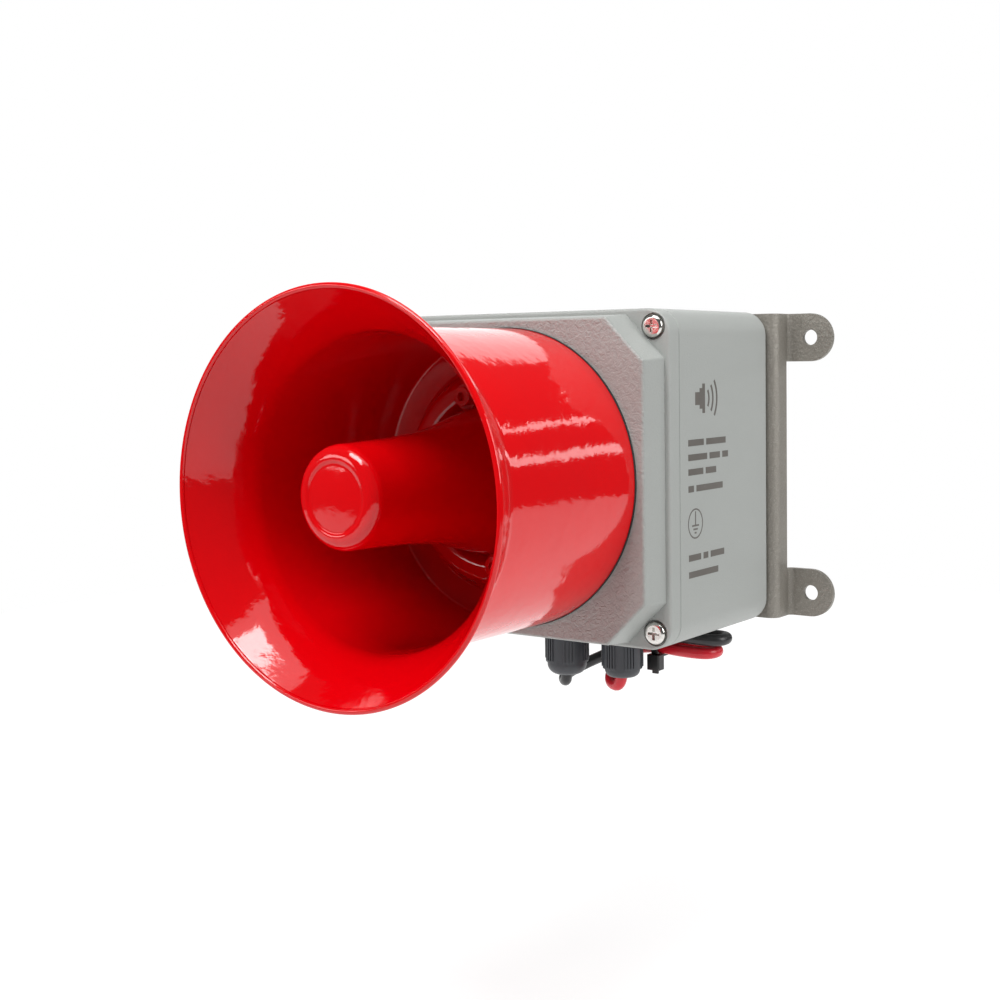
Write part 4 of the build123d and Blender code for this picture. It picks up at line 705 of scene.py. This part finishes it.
# %% Finish the inside
INSIDE = {
    rubber: ["lid_gasket", "driver_gasket", "left_gland_seal", "right_gland_seal"],
    gland_nylon: ["left_gland_locknut", "right_gland_locknut"],
    zinc: ["horn_screws", "driver_screws", "board_screws", "terminal_screws", "fuse_clips",
           "driver_top_plate", "driver_back_plate"],
    stainless: ["earth_stud", "earth_nut"],
    turned_alloy: ["driver_front", "chip_heatsink"],
    ferrite: ["driver_magnet"],
    black_shell: ["driver_cover"],
    film: ["diaphragm_dome", "diaphragm_surround", "voice_coil_former"],
    copper: ["voice_coil", "earth_lug"],
    board_green: ["circuit_board"],
    laminations: ["transformer_core"],
    winding_tape: ["transformer_winding"],
    black_moulding: ["transformer_bobbin", "amplifier_chip"],
    green_moulding: ["terminal_blocks"],
    blue_sleeve: ["filter_capacitors"],
    fuse_glass: ["mains_fuse"],
    black_jacket: ["black_lead_inside", "driver_wires"],
    red_jacket: ["red_lead_inside"],
    brown_wire: ["mains_wires"],
    blue_wire: ["signal_wires"],
    earth_stripes: ["earth_wire"],
}
for material, nodes in INSIDE.items():
    for node in nodes:
        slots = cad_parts[node].material_slots
        for slot in slots:
            slot.material = material
print(sum(len(nodes) for nodes in INSIDE.values()), "inside nodes finished")

# %% [markdown]
# ## The printed panel
# The box's side carries a printed panel in dark ink. Its words would say who made the thing, so they
# are left out: plain bars hold their places, with a loudspeaker sign above them and the common earth
# sign below. Ink is far thinner than any mesh can be, so the marks stand a few hundredths of a
# millimetre proud of the paint.

# %% Print the marks
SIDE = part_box("enclosure_body")[1][0] / MM
INK = 0.04
marks = bmesh.new()


def add_bar(y, z, length, height, tilt=0.0):
    """A flat bar of ink on the side, given by its middle."""
    made = bmesh.ops.create_cube(marks, size=1.0)["verts"]
    bmesh.ops.scale(marks, verts=made, vec=(INK * MM, length * MM, height * MM))
    bmesh.ops.rotate(marks, verts=made, cent=(0, 0, 0), matrix=Matrix.Rotation(tilt, 3, "X"))
    bmesh.ops.translate(marks, verts=made, vec=((SIDE + INK / 2) * MM, y * MM, z * MM))


def add_arc(y, z, radius, thick, start, sweep):
    """A whole thin ring of ink or a part of one, spun about an axis that stands out from the side."""
    corner = [(SIDE, radius), (SIDE + INK, radius), (SIDE + INK, radius + thick), (SIDE, radius + thick)]
    verts = [marks.verts.new((x * MM, y * MM, (z + reach) * MM)) for x, reach in corner]
    profile = [marks.edges.new(pair) for pair in zip(verts, verts[1:] + verts[:1])]
    centre = (SIDE * MM, y * MM, z * MM)
    bmesh.ops.rotate(marks, verts=verts, cent=centre, matrix=Matrix.Rotation(start, 3, "X"))
    whole = sweep == math.tau
    end = bmesh.ops.spin(marks, geom=verts + profile, cent=centre, axis=(1, 0, 0), angle=sweep,
                         steps=48, use_merge=whole)["geom_last"]
    if not whole:
        bmesh.ops.holes_fill(marks, edges=profile, sides=4)
        bmesh.ops.holes_fill(marks, edges=[g for g in end if isinstance(g, bmesh.types.BMEdge)], sides=4)


SIGN_Y = -70.0
SIGN_Z = 28.0
SIGN_ARCS = (4.5, 7.5, 10.5)
PRINT_LINES = ((12.4, (11.5, 15.0)), (7.2, (14.0, 8.0, 4.5)), (2.0, (11.0, 8.0)), (-4.0, (4.0, 20.0)),
               (-28.6, (9.0, 3.6, 10.5)), (-34.6, (22.0,)))
LINE_START = -78.0
LINE_TALL = 2.3
WORD_GAP = 1.8
EARTH_Y = -73.0
EARTH_Z = -16.5
EARTH_RADIUS = 4.9

add_bar(SIGN_Y - 1.0, SIGN_Z, 3.4, 4.6)
add_bar(SIGN_Y + 1.6, SIGN_Z, 2.0, 7.4)
add_bar(SIGN_Y + 3.6, SIGN_Z, 2.0, 10.6)
for radius in SIGN_ARCS:
    add_arc(SIGN_Y + 2.5, SIGN_Z, radius, 1.1, math.radians(-55.0), math.radians(-70.0))
for line_z, words in PRINT_LINES:
    word_y = LINE_START
    for word in words:
        add_bar(word_y + word / 2, line_z, word, LINE_TALL)
        word_y += word + WORD_GAP
add_arc(EARTH_Y, EARTH_Z, EARTH_RADIUS, 0.55, 0.0, math.tau)
add_bar(EARTH_Y, -14.6, 0.7, 5.0)
for drop, length in ((-17.2, 5.0), (-18.5, 3.2), (-19.8, 1.4)):
    add_bar(EARTH_Y, drop, length, 0.6)
bmesh.ops.recalc_face_normals(marks, faces=marks.faces)
printed = finish_piece(marks, "printed_marks", "housing", "enclosure_paint", [ink], [])

# %% [markdown]
# ## Studio
# A gloss red shows the room more than its own colour. The camera sees a white room, but everything
# else sees a dim one, with a small bright floor and seven lamps. A soft box hangs in front and above,
# a broad one overhead, a low one in front on the left, and one on the right, a little behind. The
# floor's reflection fills the lower half of the pipe. A soft box behind on the left gives the bright
# patch on its top, and two thin strips behind on the right give the streaks between them.

# %% Floor, surround and lights
FLOOR_GLOW = 0.8
FLOOR_LEVEL = -0.19
FLOOR_HALF = 0.9
SURROUND = 0.1
floor_shape = bmesh.new()
bmesh.ops.create_grid(floor_shape, x_segments=8, y_segments=8, size=FLOOR_HALF)
bmesh.ops.translate(floor_shape, verts=floor_shape.verts, vec=(0.0, 0.0, FLOOR_LEVEL))
floor_mesh = bpy.data.meshes.new("floor")
floor_shape.to_mesh(floor_mesh)
floor_shape.free()
floor_finish = Finish("pale_floor", {"Roughness": 0.9, "Emission Strength": FLOOR_GLOW,
                                     "Emission Color": shade(1.0, 1.0, 1.0)})
tone = floor_finish.mix(floor_finish.noise(3.0), shade(0.29, 0.29, 0.29), shade(0.31, 0.31, 0.31))
floor_mesh.materials.append(floor_finish.give(base_color=tone))
floor = bpy.data.objects.new("floor", floor_mesh)
bpy.context.collection.objects.link(floor)

world = bpy.data.worlds.new("surround")
bpy.context.scene.world = world
world.use_nodes = True
WHITE = 1.0
background = world.node_tree.nodes["Background"]
background.inputs["Color"].default_value = shade(1.0, 1.0, 1.0)
ray = world.node_tree.nodes.new("ShaderNodeLightPath")
level = world.node_tree.nodes.new("ShaderNodeMapRange")
level.inputs["To Min"].default_value = SURROUND
level.inputs["To Max"].default_value = WHITE
world.node_tree.links.new(ray.outputs["Is Camera Ray"], level.inputs["Value"])
world.node_tree.links.new(level.outputs["Result"], background.inputs["Strength"])
bpy.context.scene.view_settings.view_transform = "Standard"


LAMPS_LOOK_AT = Vector((0.0, -0.1, 0.0))


def hang_soft_box(name, azimuth, height, distance, width, tall, power):
    """A rectangular lamp, in metres and watts, that looks at the middle of the siren."""
    lamp = bpy.data.lights.new(name, "AREA")
    lamp.shape = "RECTANGLE"
    lamp.size = width
    lamp.size_y = tall
    lamp.energy = power
    holder = bpy.data.objects.new(name, lamp)
    around, up = math.radians(azimuth), math.radians(height)
    away = Vector((math.sin(around) * math.cos(up), -math.cos(around) * math.cos(up), math.sin(up)))
    facing = away.to_track_quat("Z", "Y").to_matrix().to_4x4()
    holder.matrix_world = Matrix.Translation(LAMPS_LOOK_AT + away * distance) @ facing
    holder.visible_camera = False
    bpy.context.collection.objects.link(holder)


hang_soft_box("front_above", -4.0, 57.0, 1.0, 0.5, 0.4, 9.0)
hang_soft_box("overhead", 60.0, 80.0, 1.1, 1.1, 0.9, 5.5)
hang_soft_box("left_front", -38.0, 14.0, 1.3, 0.5, 0.3, 2.4)
hang_soft_box("behind_left", 212.0, 24.0, 1.3, 1.0, 0.7, 3.3)
hang_soft_box("beside", 100.0, 20.0, 1.2, 0.6, 0.6, 6.8)
hang_soft_box("strip_high", 143.0, 24.0, 1.3, 0.9, 0.05, 0.5)
hang_soft_box("strip_low", 147.0, 11.0, 1.3, 0.9, 0.08, 0.8)
print("seven lamps hung")
